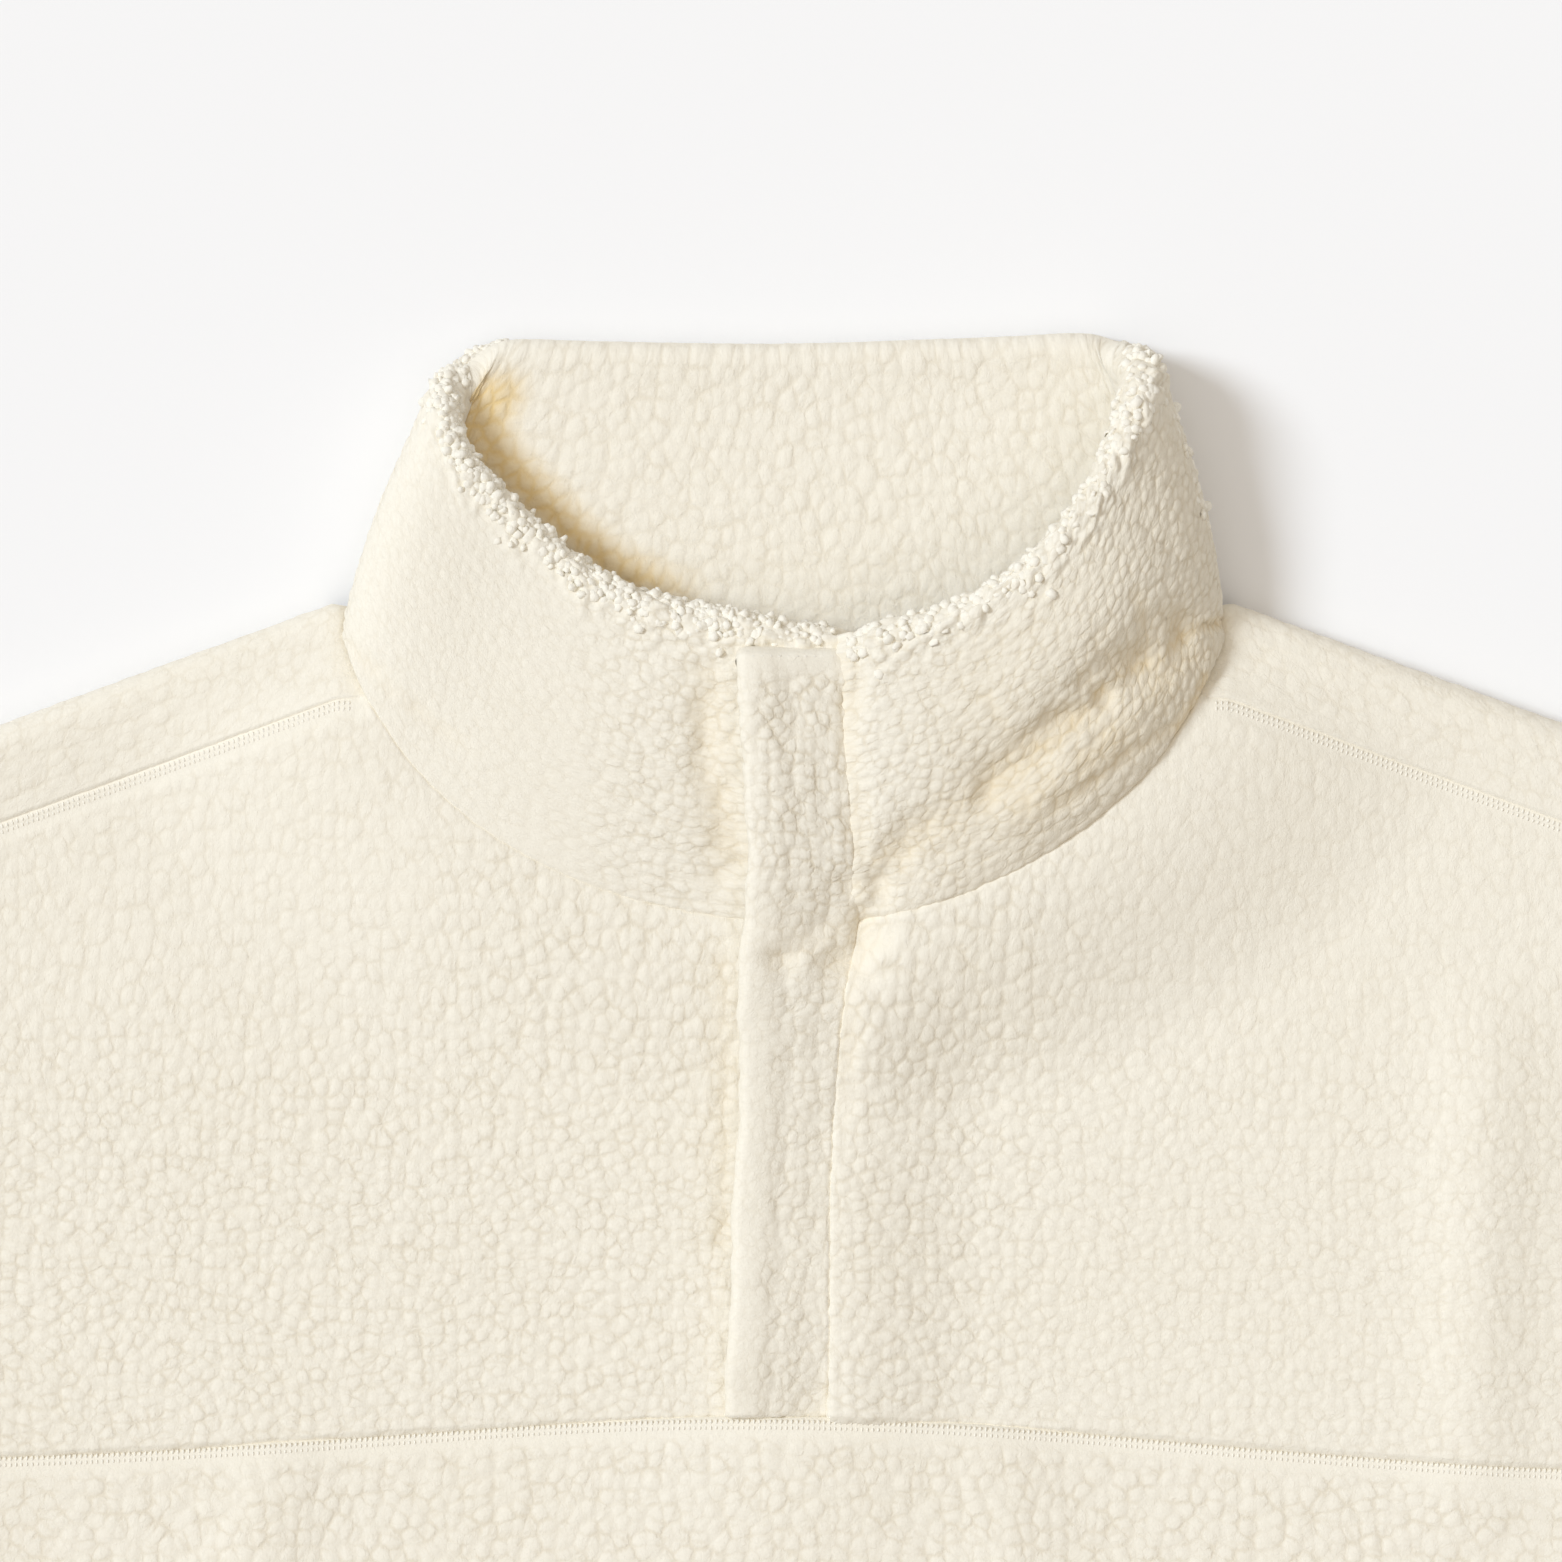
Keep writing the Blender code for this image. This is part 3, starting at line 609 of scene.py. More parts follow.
def lay_flat(grid):
    """The cloth's own flat coordinates: lengths along its rows and along its columns."""
    across = np.linalg.norm(np.diff(grid, axis=1), axis=2)
    up = np.linalg.norm(np.diff(grid, axis=0), axis=2)
    u = np.concatenate([np.zeros((len(grid), 1)), np.cumsum(across, axis=1)], axis=1)
    v = np.concatenate([np.zeros((1, grid.shape[1])), np.cumsum(up, axis=0)], axis=0)
    middle_column = grid.shape[1] // 2
    middle_row = len(grid) // 2
    u = u - u[:, middle_column:middle_column + 1]
    v = v - v[middle_row:middle_row + 1]
    return np.stack([u, v], axis=2)


def grid_lay(grid, across, up):
    """Flat coordinates straight from the grid's rows and columns, scaled each way."""
    v, u = np.mgrid[0:grid.shape[0], 0:grid.shape[1]] * COLLAR_FINE
    return np.stack([across * u, up * v], axis=2)


def add_object(name, data):
    """A new object in the scene for a mesh, a light or a camera."""
    made = bpy.data.objects.new(name, data)
    bpy.context.scene.collection.objects.link(made)
    return made


def new_material(name, values):
    """A new material with its shader's constant sockets set, and its node tree and shader."""
    material = bpy.data.materials.new(name)
    material.use_nodes = True
    shader = material.node_tree.nodes["Principled BSDF"]
    for socket, value in values.items():
        shader.inputs[socket].default_value = value
    return material, material.node_tree, shader


def voronoi_fields(points):
    """At each flat point: distance to the nub's edge and to its middle, and to the edge of its clump."""
    wanted = [
        ("edge", "DISTANCE_TO_EDGE", CELL),
        ("middle", "F1", CELL),
        ("clump", "DISTANCE_TO_EDGE", CELL_CLUMP),
    ]
    mesh = bpy.data.meshes.new("fields")
    mesh.vertices.add(len(points))
    flat = np.zeros((len(points), 3))
    flat[:, :2] = points
    mesh.vertices.foreach_set("co", flat.ravel())
    holder = add_object("fields", mesh)
    tree = bpy.data.node_groups.new("fields", "GeometryNodeTree")
    tree.interface.new_socket("Geometry", in_out="INPUT", socket_type="NodeSocketGeometry")
    tree.interface.new_socket("Geometry", in_out="OUTPUT", socket_type="NodeSocketGeometry")
    end = tree.nodes.new("NodeGroupInput").outputs[0]
    position = tree.nodes.new("GeometryNodeInputPosition").outputs[0]
    for name, feature, size in wanted:
        cells = add_cells(tree, position, feature, size)
        inputs = {"Geometry": end, "Name": name, "Value": cells}
        store = add_node(tree, "GeometryNodeStoreNamedAttribute", inputs, data_type="FLOAT", domain="POINT")
        end = store.outputs["Geometry"]
    tree.links.new(end, tree.nodes.new("NodeGroupOutput").inputs[0])
    holder.modifiers.new("fields", "NODES").node_group = tree
    evaluated = holder.evaluated_get(bpy.context.evaluated_depsgraph_get()).data
    fields = []
    for name, feature, size in wanted:
        values = np.zeros(len(points), dtype=np.float32)
        evaluated.attributes[name].data.foreach_get("value", values)
        fields.append(values * size)
    bpy.data.objects.remove(holder)
    bpy.data.meshes.remove(mesh)
    bpy.data.node_groups.remove(tree)
    return fields


def vertex_normals(points, quads):
    """Unit normals at the points of a mesh of quads."""
    corners = points[quads]
    face = np.cross(corners[:, 2] - corners[:, 0], corners[:, 3] - corners[:, 1])
    total = np.zeros_like(points)
    for axis in range(3):
        weights = np.repeat(face[:, axis], 4)
        total[:, axis] = np.bincount(quads.ravel(), weights=weights, minlength=len(points))
    return unit(total)


def nap_of(lay, seed):
    """The nub pattern's coordinates: the flat ones, bent so that no nub has straight sides."""
    u = lay[:, 0]
    v = lay[:, 1]
    bend_u = 1.3 * soft_noise(u, v, 21.0, seed) + 0.3 * soft_noise(u, v, 3.3, seed + 1)
    bend_v = 1.3 * soft_noise(u, v, 21.0, seed + 2) + 0.3 * soft_noise(u, v, 3.3, seed + 3)
    shift = 137.0 * seed
    return np.column_stack([u + bend_u + shift, v + bend_v])


def nub_height(nap, seed):
    """How far the nubs stand up at each point, from 0 in the creases to about 1 mm."""
    edge, middle, clump = voronoi_fields(nap)
    uneven = 1.0 + 0.35 * soft_noise(nap[:, 0], nap[:, 1], 4.5, seed + 5)
    pillow = 0.6 * (1.0 - np.exp(-edge / FLANK)) + 0.4 * (1.0 - np.minimum(middle / DOME_REACH, 1.0) ** 2)
    swell = 1.0 - np.exp(-clump / CLUMP_FLANK)
    return NUB * pillow * uneven + CLUMP * swell


def grid_faces(grids):
    """Quads over the points of all the grids, and each point's place on the bake map."""
    quads = []
    bake = []
    start = 0
    for place, grid in enumerate(grids):
        rows, columns = grid.shape[:2]
        index = np.arange(rows * columns).reshape(rows, columns) + start
        quad = np.stack([index[:-1, :-1], index[:-1, 1:], index[1:, 1:], index[1:, :-1]], axis=2)
        quads.append(quad.reshape(-1, 4))
        v, u = np.mgrid[0.01:0.99:rows * 1j, 0.01:0.99:columns * 1j]
        if len(grids) > 1:
            low, high = BAKE_BANDS[place]
            v = low + (high - low) * v
        bake.append(np.stack([u, v], axis=2).reshape(-1, 2))
        start += rows * columns
    return np.concatenate(quads), np.concatenate(bake)


def fleece_piece(name, grids, seed, amp, flip=False, lays=None, pit_shade=None, shade=None, tuft=None, lift=0.5):
    """A mesh of nubbed cloth over one or more grids, with its pattern and its bake map.

    Fields on the grids' points: amp scales the nubs, pit is the strength of the painted golden shade, shade
    is the strength of the painted plain shade, and tuft is extra height. Lift is the share of the nubs that
    stands above the grid.
    """
    points = np.concatenate([grid.reshape(-1, 3) for grid in grids])
    lays = lays or [lay_flat(grid) for grid in grids]
    lay = np.concatenate([part.reshape(-1, 2) for part in lays])
    quads, bake = grid_faces(grids)
    if flip:
        quads = quads[:, ::-1]
    plain = np.zeros(len(points))
    amp = amp.ravel()
    nap = nap_of(lay, seed)
    height = nub_height(nap, seed) * amp
    crest = (NUB + CLUMP) * amp
    if tuft is not None:
        height = height + tuft.ravel()
    normals = vertex_normals(points, quads)
    points = points + normals * (height - (1.0 - lift) * crest)[:, None]
    points[:, 2] = np.maximum(points[:, 2], 0.0)
    points = drift(points)
    points[:, 1] += HIGH_POINT_Y

    mesh = bpy.data.meshes.new(name)
    mesh.vertices.add(len(points))
    mesh.vertices.foreach_set("co", (points * MM).ravel())
    mesh.loops.add(quads.size)
    mesh.loops.foreach_set("vertex_index", quads.ravel())
    mesh.polygons.add(len(quads))
    mesh.polygons.foreach_set("loop_start", np.arange(0, quads.size, 4))
    mesh.update(calc_edges=True)
    mesh.shade_smooth()
    layer = mesh.uv_layers.new(name="OFBake")
    layer.data.foreach_set("uv", bake[quads.ravel()].ravel())
    pattern = mesh.attributes.new("nap", "FLOAT_VECTOR", "POINT")
    pattern.data.foreach_set("vector", np.column_stack([nap, plain]).ravel())
    for field, values in (("amp", amp), ("pit_shade", pit_shade), ("shade", shade)):
        values = plain if values is None else values.ravel()
        mesh.attributes.new(field, "FLOAT", "POINT").data.foreach_set("value", values)
    mesh.materials.append(fleece_material())
    return add_object(name, mesh)


def add_node(tree, kind, inputs=(), **settings):
    """A node with its settings made and its inputs given a value or a link."""
    node = tree.nodes.new(kind)
    for key, value in settings.items():
        setattr(node, key, value)
    for key, value in dict(inputs).items():
        if isinstance(value, bpy.types.NodeSocket):
            tree.links.new(value, node.inputs[key])
        else:
            node.inputs[key].default_value = value
    return node


def math_node(tree, operation, *values):
    """The result of a math node."""
    return add_node(tree, "ShaderNodeMath", dict(enumerate(values)), operation=operation).outputs[0]


def add_noise(tree, inputs):
    """A noise texture's value."""
    return add_node(tree, "ShaderNodeTexNoise", inputs).outputs["Fac"]


def add_cells(tree, vector, feature, size):
    """A cell pattern's distance output, in cell sizes."""
    node = add_node(tree, "ShaderNodeTexVoronoi", {"Vector": vector, "Scale": 1.0 / size},
                    voronoi_dimensions="2D", feature=feature)
    node.inputs["Randomness"].default_value = RANDOMNESS
    return node.outputs["Distance"]


def ramp(tree, value, start, end, low, high):
    """A smooth step of a value, from low at start to high at end."""
    inputs = {"Value": value, "From Min": start, "From Max": end, "To Min": low, "To Max": high}
    return add_node(tree, "ShaderNodeMapRange", inputs, interpolation_type="SMOOTHSTEP").outputs[0]


def fleece_material(pale=False):
    """Cream sherpa: painted warm shade in the creases between soft nubs, painted golden shade in its pits,
    fine fibres and a sheen at grazing angles.

    The loose curls along an edge are paler: painted light, a lighter copy of the wool in place of the light
    that shines through them.
    """
    name = "sherpa_curls" if pale else "sherpa"
    material = bpy.data.materials.get(name)
    if material:
        return material
    material, tree, shader = new_material(name, {
        "Roughness": 0.95,
        "Specular IOR Level": 0.1,
        "Sheen Weight": 0.2,
        "Sheen Roughness": 0.5,
        "Sheen Tint": (1.0, 0.97, 0.9, 1.0),
    })
    nap = add_node(tree, "ShaderNodeAttribute", attribute_name="nap").outputs["Vector"]
    amp = add_node(tree, "ShaderNodeAttribute", attribute_name="amp").outputs["Fac"]
    pit_shade = add_node(tree, "ShaderNodeAttribute", attribute_name="pit_shade").outputs["Fac"]
    shade = add_node(tree, "ShaderNodeAttribute", attribute_name="shade").outputs["Fac"]
    inputs = {"Vector": nap, "Scale": 0.55, "Detail": 2.0, "Roughness": 0.6}
    ragged = add_node(tree, "ShaderNodeTexNoise", inputs)
    offset = add_node(tree, "ShaderNodeVectorMath", operation="SUBTRACT")
    tree.links.new(ragged.outputs["Color"], offset.inputs[0])
    offset.inputs[1].default_value = (0.5, 0.5, 0.5)
    bent = add_node(tree, "ShaderNodeVectorMath", operation="MULTIPLY_ADD")
    tree.links.new(offset.outputs[0], bent.inputs[0])
    bent.inputs[1].default_value = (RAGGED, RAGGED, 0.0)
    tree.links.new(nap, bent.inputs[2])
    bent = bent.outputs[0]
    edge = add_cells(tree, bent, "DISTANCE_TO_EDGE", CELL)
    gap = ramp(tree, edge, 0.0, CREASE_WIDTH / CELL, 1.0, 0.0)
    apart = ramp(tree, add_cells(tree, bent, "F1", CELL), 0.2, 0.62, 0.12, 1.0)
    clump_edge = add_cells(tree, bent, "DISTANCE_TO_EDGE", CELL_CLUMP)
    clump = ramp(tree, clump_edge, 0.0, CLUMP_WIDTH / CELL_CLUMP, 0.5, 0.0)
    patchy = add_noise(tree, {"Vector": nap, "Scale": 0.15, "Detail": 1.0})
    patchy = ramp(tree, patchy, 0.34, 0.62, 0.3, 1.0)
    crease = math_node(tree, "MAXIMUM", math_node(tree, "MULTIPLY", gap, apart), clump)
    crease = math_node(tree, "MULTIPLY", crease, patchy)
    crease = math_node(tree, "MULTIPLY", crease, amp)
    tone = add_noise(tree, {"Vector": nap, "Scale": 0.022, "Detail": 1.0})
    # The loose curls get a lighter wool: painted light in place of the light that shines through them
    wool = mixed(tree, tone, WOOL_LIGHT, CURLS_LIGHT_COLOUR) if pale else mixed(tree, tone, WOOL_DARK, WOOL_LIGHT)
    # Painted shade: the creases between nubs, and the broad shade field, darken the wool towards the crease
    # shade colour
    shade_share = math_node(tree, "ADD", math_node(tree, "MULTIPLY", crease, CREASE_SHADE_STRENGTH), shade)
    warm = mixed(tree, shade_share, wool, CREASE_SHADE_COLOUR)
    # Painted golden shade in the pits, stronger in the creases between nubs than on the nubs
    between = math_node(tree, "MULTIPLY_ADD", gap, 0.28, 0.68)
    deep = mixed(tree, math_node(tree, "MULTIPLY", pit_shade, between), warm, PIT_SHADE_COLOUR)
    tree.links.new(deep, shader.inputs["Base Color"])
    inputs = {"Vector": nap, "Scale": 0.9, "Detail": 4.0, "Roughness": 0.62, "Distortion": 0.8}
    curls = add_noise(tree, inputs)
    groove = math_node(tree, "MULTIPLY", crease, -CREASE_BUMP)
    relief = math_node(tree, "ADD", math_node(tree, "MULTIPLY", curls, CURL_BUMP), groove)
    bump = add_node(tree, "ShaderNodeBump", {"Height": relief, "Distance": MM, "Strength": 1.0})
    tree.links.new(bump.outputs["Normal"], shader.inputs["Normal"])
    return material


def mixed(tree, share, first, second):
    """A mix of two colours, each a colour or a link."""
    node = add_node(tree, "ShaderNodeMix", data_type="RGBA")
    for socket, value in ((0, share), (6, first), (7, second)):
        if isinstance(value, bpy.types.NodeSocket):
            tree.links.new(value, node.inputs[socket])
        else:
            node.inputs[socket].default_value = value
    return node.outputs[2]


def spread(fine_share, fine, coarse):
    """Shares from 0 to 1, close together up to the fine share."""
    near = np.linspace(0.0, fine_share, int(fine_share / fine))
    far = np.linspace(fine_share, 1.0, int((1.0 - fine_share) / coarse))
    return np.concatenate([near, far[1:]])


ROLL_ANGLES = np.radians([90.0, 72.0, 54.0, 36.0, 18.0, 0.0])
ROLL_INSET = EDGE_RADIUS * (1 - np.cos(ROLL_ANGLES))


def upper_front(side):
    """An upper front, from the neck and shoulder seams down to the chest seam."""
    width = SHOULDER_HALF + 10.0
    columns = spread(CLOSE_HALF / width, FINE / width, FAR / width)
    rows = np.linspace(0.0, 1.0, int(UPPER_LENGTH / FINE))
    share, rise = np.meshgrid(columns, rows)
    if side < 0:
        share = share[:, ::-1]
    y = np.full(share.shape, -110.0)
    for _ in range(FIT_PASSES):
        inner = sewn_x(y) + (0.0 if side > 0 else -UNDERLAP)
        outer = side * side_x(y)
        x = inner + (outer - inner) * share
        at_neck = 1.0 - smooth((np.abs(x) - NECK_SEAM_HALF + 3.0) / 4.0)
        top = neck_seam_y(x, side) * at_neck + shoulder_seam_y(x) * (1.0 - at_neck)
        bottom = chest_seam_y(x)
        y = bottom + (top - bottom) * rise
    level = front_level(x, y, side)
    to_top = (top - y) / SHOULDER_STRETCH
    to_bottom = y - bottom
    to_armhole = np.abs(outer - x)
    to_strip = np.abs(x - inner)
    stitched = (1.0 - at_neck) * (1.0 - smooth((to_top - SHOULDER_BAND) / BAND_FADE))
    level = level - edge_drop(to_top, NECK_EDGE) - edge_drop(to_bottom, UPPER_EDGE)
    level = level - edge_drop(to_armhole, ARMHOLE_EDGE)
    level = level - SHOULDER_SINK * stitched
    near = np.minimum(np.minimum(to_top, to_bottom), to_armhole)
    if side > 0:
        level = level - np.exp(-to_strip / 5.0)
        near = np.minimum(near, to_strip)
    # Troughs of the small creases, with their painted golden shade
    depth, gold = trough(x, y, BODY_CREASES)
    level = level - depth
    on_right = smooth((x - 40.0) / 40.0)
    by_shoulder = smooth((y + 135.0) / 60.0) * smooth((np.abs(x) - 60.0) / 40.0)
    amp = (0.75 + 0.25 * smooth(near / 4.0)) * (1.0 - 0.85 * stitched)
    amp = amp * (1.0 - 0.3 * on_right) * (1.0 - 0.4 * by_shoulder)
    grid = np.stack([x, y, level], axis=2)
    grid, amp = skirted(grid, amp, ("bottom", "top"), SOFT_SKIRT)
    grid, amp = skirted(grid, amp, ("left", "right"))
    gold = np.pad(gold, len(SKIRT), mode="edge")
    name = "front_upper_right_fleece" if side > 0 else "front_upper_left_fleece"
    heights = np.arange(-260.0, 20.0)
    squeeze = 1.25 - 0.4 * smooth((heights + 155.0) / 60.0)
    v = np.interp(grid[:, :, 1], heights, np.cumsum(squeeze))
    lay = np.stack([1.17 * grid[:, :, 0], v], axis=2)
    return fleece_piece(name, [grid], 3 if side > 0 else 2, amp=amp, lays=[lay], pit_shade=gold)


def lower_level(x, y):
    """Height of the lower front's upper face, with the flat band that carries the seam's stitches."""
    to_seam = chest_seam_y(x) - y
    under_strip = np.exp(-((x - STRIP_END_X) / STRIP_END_REACH) ** 2)
    under_strip = under_strip * (1.0 - smooth(to_seam / STRIP_END_FADE))
    level = upper_level(body_edge(x, y)) + ridge(x, y, BODY_FOLDS + LOWER_FOLDS)
    level = level + STRIP_END_RISE * under_strip
    band = 1.0 - smooth((to_seam - SEAM_BAND) / BAND_FADE)
    return level - edge_drop(to_seam, LOWER_EDGE) - SEAM_SINK * band


def lower_front():
    """The front below the chest seam, rolled at the sides down to the side seams."""
    flat = spread(LOWER_CLOSE[0], LOWER_FINE / CHEST_HALF, LOWER_COARSE[0])
    down = spread(LOWER_CLOSE[1], LOWER_FINE / LOWER_LENGTH, LOWER_COARSE[1])
    half_grids = []
    half_near = []
    for side in (-1.0, 1.0):
        y = np.full((len(down), len(flat) + len(ROLL_INSET) - 1), -450.0)
        drop = np.repeat(down[:, None], y.shape[1], axis=1)
        for _ in range(FIT_PASSES):
            outline = side_x(y)
            inner = (outline[:, :len(flat)] - EDGE_RADIUS) * flat
            rolled = outline[:, len(flat):] - ROLL_INSET[1:]
            x = side * np.concatenate([inner, rolled], axis=1)
            top = chest_seam_y(x)
            y = top + (HEM_Y + HEM_RADIUS - top) * drop
        level = lower_level(x, y)
        at_armhole = edge_drop(np.abs(np.abs(x) - outline), ARMHOLE_EDGE)
        level = level - np.where(y > UNDERARM_Y, at_armhole, 0.0)
        half_grids.append(np.stack([x, y, level], axis=2))
        half_near.append(top - y)
    whole = np.concatenate([half_grids[0][:, :0:-1], half_grids[1]], axis=1)[::-1]
    near = np.concatenate([half_near[0][:, :0:-1], half_near[1]], axis=1)[::-1]
    amp = 0.12 + 0.88 * smooth((near - SEAM_BAND) / 3.5)
    hem = wrapped(whole[::-1], grid_normals(whole)[0], HEM_RADIUS, HEM_DEPTH, COARSE)[::-1]
    amp = np.pad(amp, ((len(hem) - len(whole), 0), (0, 0)), mode="edge")
    grid, amp = skirted(hem, amp, ("top",))
    return fleece_piece("front_lower_fleece", [grid], 4, amp=amp)


def back():
    """The back: flat on the surface, with a flap over each shoulder to the forward seam."""
    centre = np.linspace(0.0, FLAP_START, int(FLAP_START / COARSE))[:-1]
    width = SHOULDER_HALF - FLAP_START
    shares = spread((CLOSE_HALF - FLAP_START) / width, BACK_FINE / width, BACK_FAR / width)
    up = np.linspace(0.0, 1.0, int(-HEM_Y / COARSE))
    columns = len(centre) + len(shares) + len(ROLL_INSET) - 1
    y = np.full((len(up), columns), -400.0)
    for _ in range(FIT_PASSES):
        outline = side_x(y)[:, len(centre):]
        flat = FLAP_START + (outline[:, :len(shares)] - EDGE_RADIUS - FLAP_START) * shares
        rolled = outline[:, len(shares):] - ROLL_INSET[1:]
        x = np.concatenate([np.repeat(centre[None], len(up), axis=0), flat, rolled], axis=1)
        neck = BACK_NECK_Y + BACK_NECK_RISE * (x / FLAP_START) ** 2
        fold = shoulder_y(x) - EDGE_RADIUS * SHOULDER_STRETCH
        top = np.where(x < FLAP_START, neck, fold)
        y = HEM_Y + HEM_RADIUS + (top - HEM_Y - HEM_RADIUS) * up[:, None]
    sides = []
    for side in (1.0, -1.0):
        inside = smooth(under_edge(x, y) / 30.0)
        level = under_level(under_edge(x, y)) + inside * ridge(side * x, y, UNDER_FOLDS)
        sides.append(np.stack([side * x, y, level], axis=2))
    right, left = sides
    whole = np.concatenate([left[:, :0:-1], right], axis=1)
    hem = wrapped(whole[::-1], -grid_normals(whole)[0], HEM_RADIUS, HEM_DEPTH, COARSE)[::-1]
    grids = [hem]
    amps = [np.full(hem.shape[:2], 0.8)]
    lays = [lay_flat(hem)]
    for side, start in ((1.0, right[-1, len(centre):]), (-1.0, left[-1, len(centre):])):
        flap, amp = back_flap(start, side)
        if side < 0:
            flap = flap[:, ::-1]
            amp = amp[:, ::-1]
        grids.append(flap)
        amps.append(amp)
        lays.append(lay_flat(flap) + np.array([300.0 * side, 900.0]))
    amp = np.concatenate([part.ravel() for part in amps])
    return fleece_piece("back_fleece", grids, 5, flip=True, amp=amp, lays=lays, lift=0.0)


def back_flap(start_row, side):
    """The back where it comes over a shoulder, from the under face round to the forward seam."""
    rows = [start_row]
    near = [np.full(len(start_row), 30.0)]
    for angle in np.linspace(0.0, math.pi, 17)[1:]:
        row = start_row.copy()
        row[:, 1] = shoulder_y(row[:, 0]) - EDGE_RADIUS * SHOULDER_STRETCH * (1 - math.sin(angle))
        row[:, 2] = EDGE_RADIUS * (1 - math.cos(angle))
        rows.append(row)
        near.append(np.full(len(start_row), 30.0))
    turned = rows[-1]
    for share in np.linspace(0.0, 1.0, int(SEAM_FORWARD / FINE))[1:]:
        row = turned.copy()
        row[:, 0] -= side * FLAP_NECK_SHIFT * share * np.exp(-(np.abs(row[:, 0]) - FLAP_START) / 6.0)
        seam = shoulder_seam_y(row[:, 0])
        row[:, 1] += (seam - turned[:, 1]) * share
        row[:, 2] = upper_level(body_edge(row[:, 0], row[:, 1])) + neck_rise(row[:, 0], row[:, 1], side)
        to_seam = np.abs(seam - row[:, 1])
        row[:, 2] -= edge_drop(to_seam, FLAP_EDGE)
        rows.append(row)
        near.append(to_seam)
    amp = 0.3 + 0.32 * smooth(np.array(near) / 5.0)
    grid, amp = skirted(np.array(rows), amp, ("top",), SOFT_SKIRT)
    edge = grid[:, -1]
    outward = unit(edge - grid[:, -2])
    up = grid_normals(grid)[:, -1]
    up = up * np.sign(up[-6, 2])
    tucked = [edge + outward * lean - up * fall for lean, fall in ARMHOLE_TUCK]
    grid = np.concatenate([grid, np.stack(tucked, axis=1)], axis=1)
    amp = np.pad(amp, ((0, 0), (0, len(tucked))), mode="edge")
    toward_neck = grid[:, :1].repeat(len(NECK_TUCK), axis=1)
    reach = 4.5 + 6.5 * smooth((-grid[:, 0, 1] - 9.0) / 16.0)
    on_top = smooth((grid[:, 0, 2] - EDGE_RADIUS) / 3.0)
    for place, (lean, fall) in enumerate(NECK_TUCK):
        toward_neck[:, place, 0] -= side * lean * reach * on_top
        toward_neck[:, place, 2] -= fall * on_top
    grid = np.concatenate([toward_neck, grid], axis=1)
    amp = np.pad(amp, ((0, 0), (len(NECK_TUCK), 0)), mode="edge")
    return grid, amp


def sleeve(side):
    """A sleeve, a flattened tube from the armhole to the open cuff."""
    rows = resample(spline(SLEEVE, 30), [0, 1], COARSE)[:-1]
    across = np.linspace(0.0, 1.0, SLEEVE_COLUMNS + 2)[1:-1]
    grid = []
    for row in rows:
        upper = row[:2]
        under = row[2:]
        width = np.linalg.norm(upper - under)
        flat = EDGE_RADIUS + across * (width - 2 * EDGE_RADIUS)
        inset = np.concatenate([ROLL_INSET[::-1], flat, width - ROLL_INSET])
        place = under + (upper - under) * (inset / width)[:, None]
        edge = np.minimum(inset, width - inset)
        folds = SLEEVE_FOLDS if side > 0 else LEFT_SLEEVE_FOLDS
        high = upper_level(edge) + ridge(place[:, 0], place[:, 1], folds)
        under_folds = ridge(side * place[:, 0], place[:, 1], UNDER_FOLDS)
        low = under_level(edge) + smooth(edge / 25.0) * under_folds
        ring_high = np.column_stack([place, high])
        ring_low = np.column_stack([place, low])
        grid.append(np.concatenate([ring_high, ring_low[-2::-1]]))
    grid = np.array(grid)
    top_y = shoulder_y(SHOULDER_HALF)
    distance = from_row(grid, 0)
    t = np.clip((top_y - grid[:, :, 1]) / (top_y - UNDERARM_Y), 0.0, 1.0)
    grid[:, :, 0] -= np.exp(-distance / 50.0) * 4 * ARMHOLE_BULGE * t * (1 - t)
    normals = -grid_normals(grid)
    grid = grid - normals * edge_drop(distance, ARMHOLE_EDGE)[:, :, None]
    grid = wrapped(grid, normals[-1], HEM_RADIUS, HEM_DEPTH, COARSE)
    inside = grid[:1] - normals[:1] * 3.0 - np.array([0.6, 0.0, 0.0])
    grid = np.concatenate([inside, grid])
    amp = 0.4 + 0.6 * smooth(from_row(grid, 0) / 6.0)
    grid[:, :, 0] *= side
    name = "sleeve_right_fleece" if side > 0 else "sleeve_left_fleece"
    return fleece_piece(name, [grid], 7 if side > 0 else 6, flip=side > 0, amp=amp, lift=0.2)


def collar_form():
    """Sections of the collar, and the grid of its outer face up to the rim."""
    sections = resample(spline(COLLAR, 40), [3, 4, 5], COLLAR_FINE)
    v = np.linspace(0.0, 1.0, int(COLLAR_HEIGHT / COLLAR_FINE))[:, None]
    base = sections[None, :, 0:3]
    rim = sections[None, :, 3:6]
    grid = base + (rim - base) * v[:, :, None]
    turn = np.gradient(sections[:, 0:3] + sections[:, 3:6], axis=0)
    outward = np.column_stack([turn[:, 2], np.zeros(len(turn)), -turn[:, 0]])
    outward = -unit(outward)
    swell = sections[None, :, 6] * (4 * v * (1 - v))
    grid = grid + outward[None, :, :] * swell[:, :, None]
    on_top = smooth((sections[None, :, 2] - EDGE_RADIUS) / EDGE_RADIUS)
    fold = ridge(grid[:, :, 0], grid[:, :, 1], COLLAR_FOLDS)
    grid[:, :, 2] = np.maximum(grid[:, :, 2] + on_top * fold, 0.0)
    return grid


def box_blur(values, reach):
    """The mean along the second axis over a window, with the ends held."""
    padded = np.pad(values, ((0, 0), (reach, reach), (0, 0)), mode="edge")
    total = np.cumsum(np.pad(padded, ((0, 0), (1, 0), (0, 0))), axis=1)
    window = 2 * reach + 1
    return (total[:, window:] - total[:, :-window]) / window


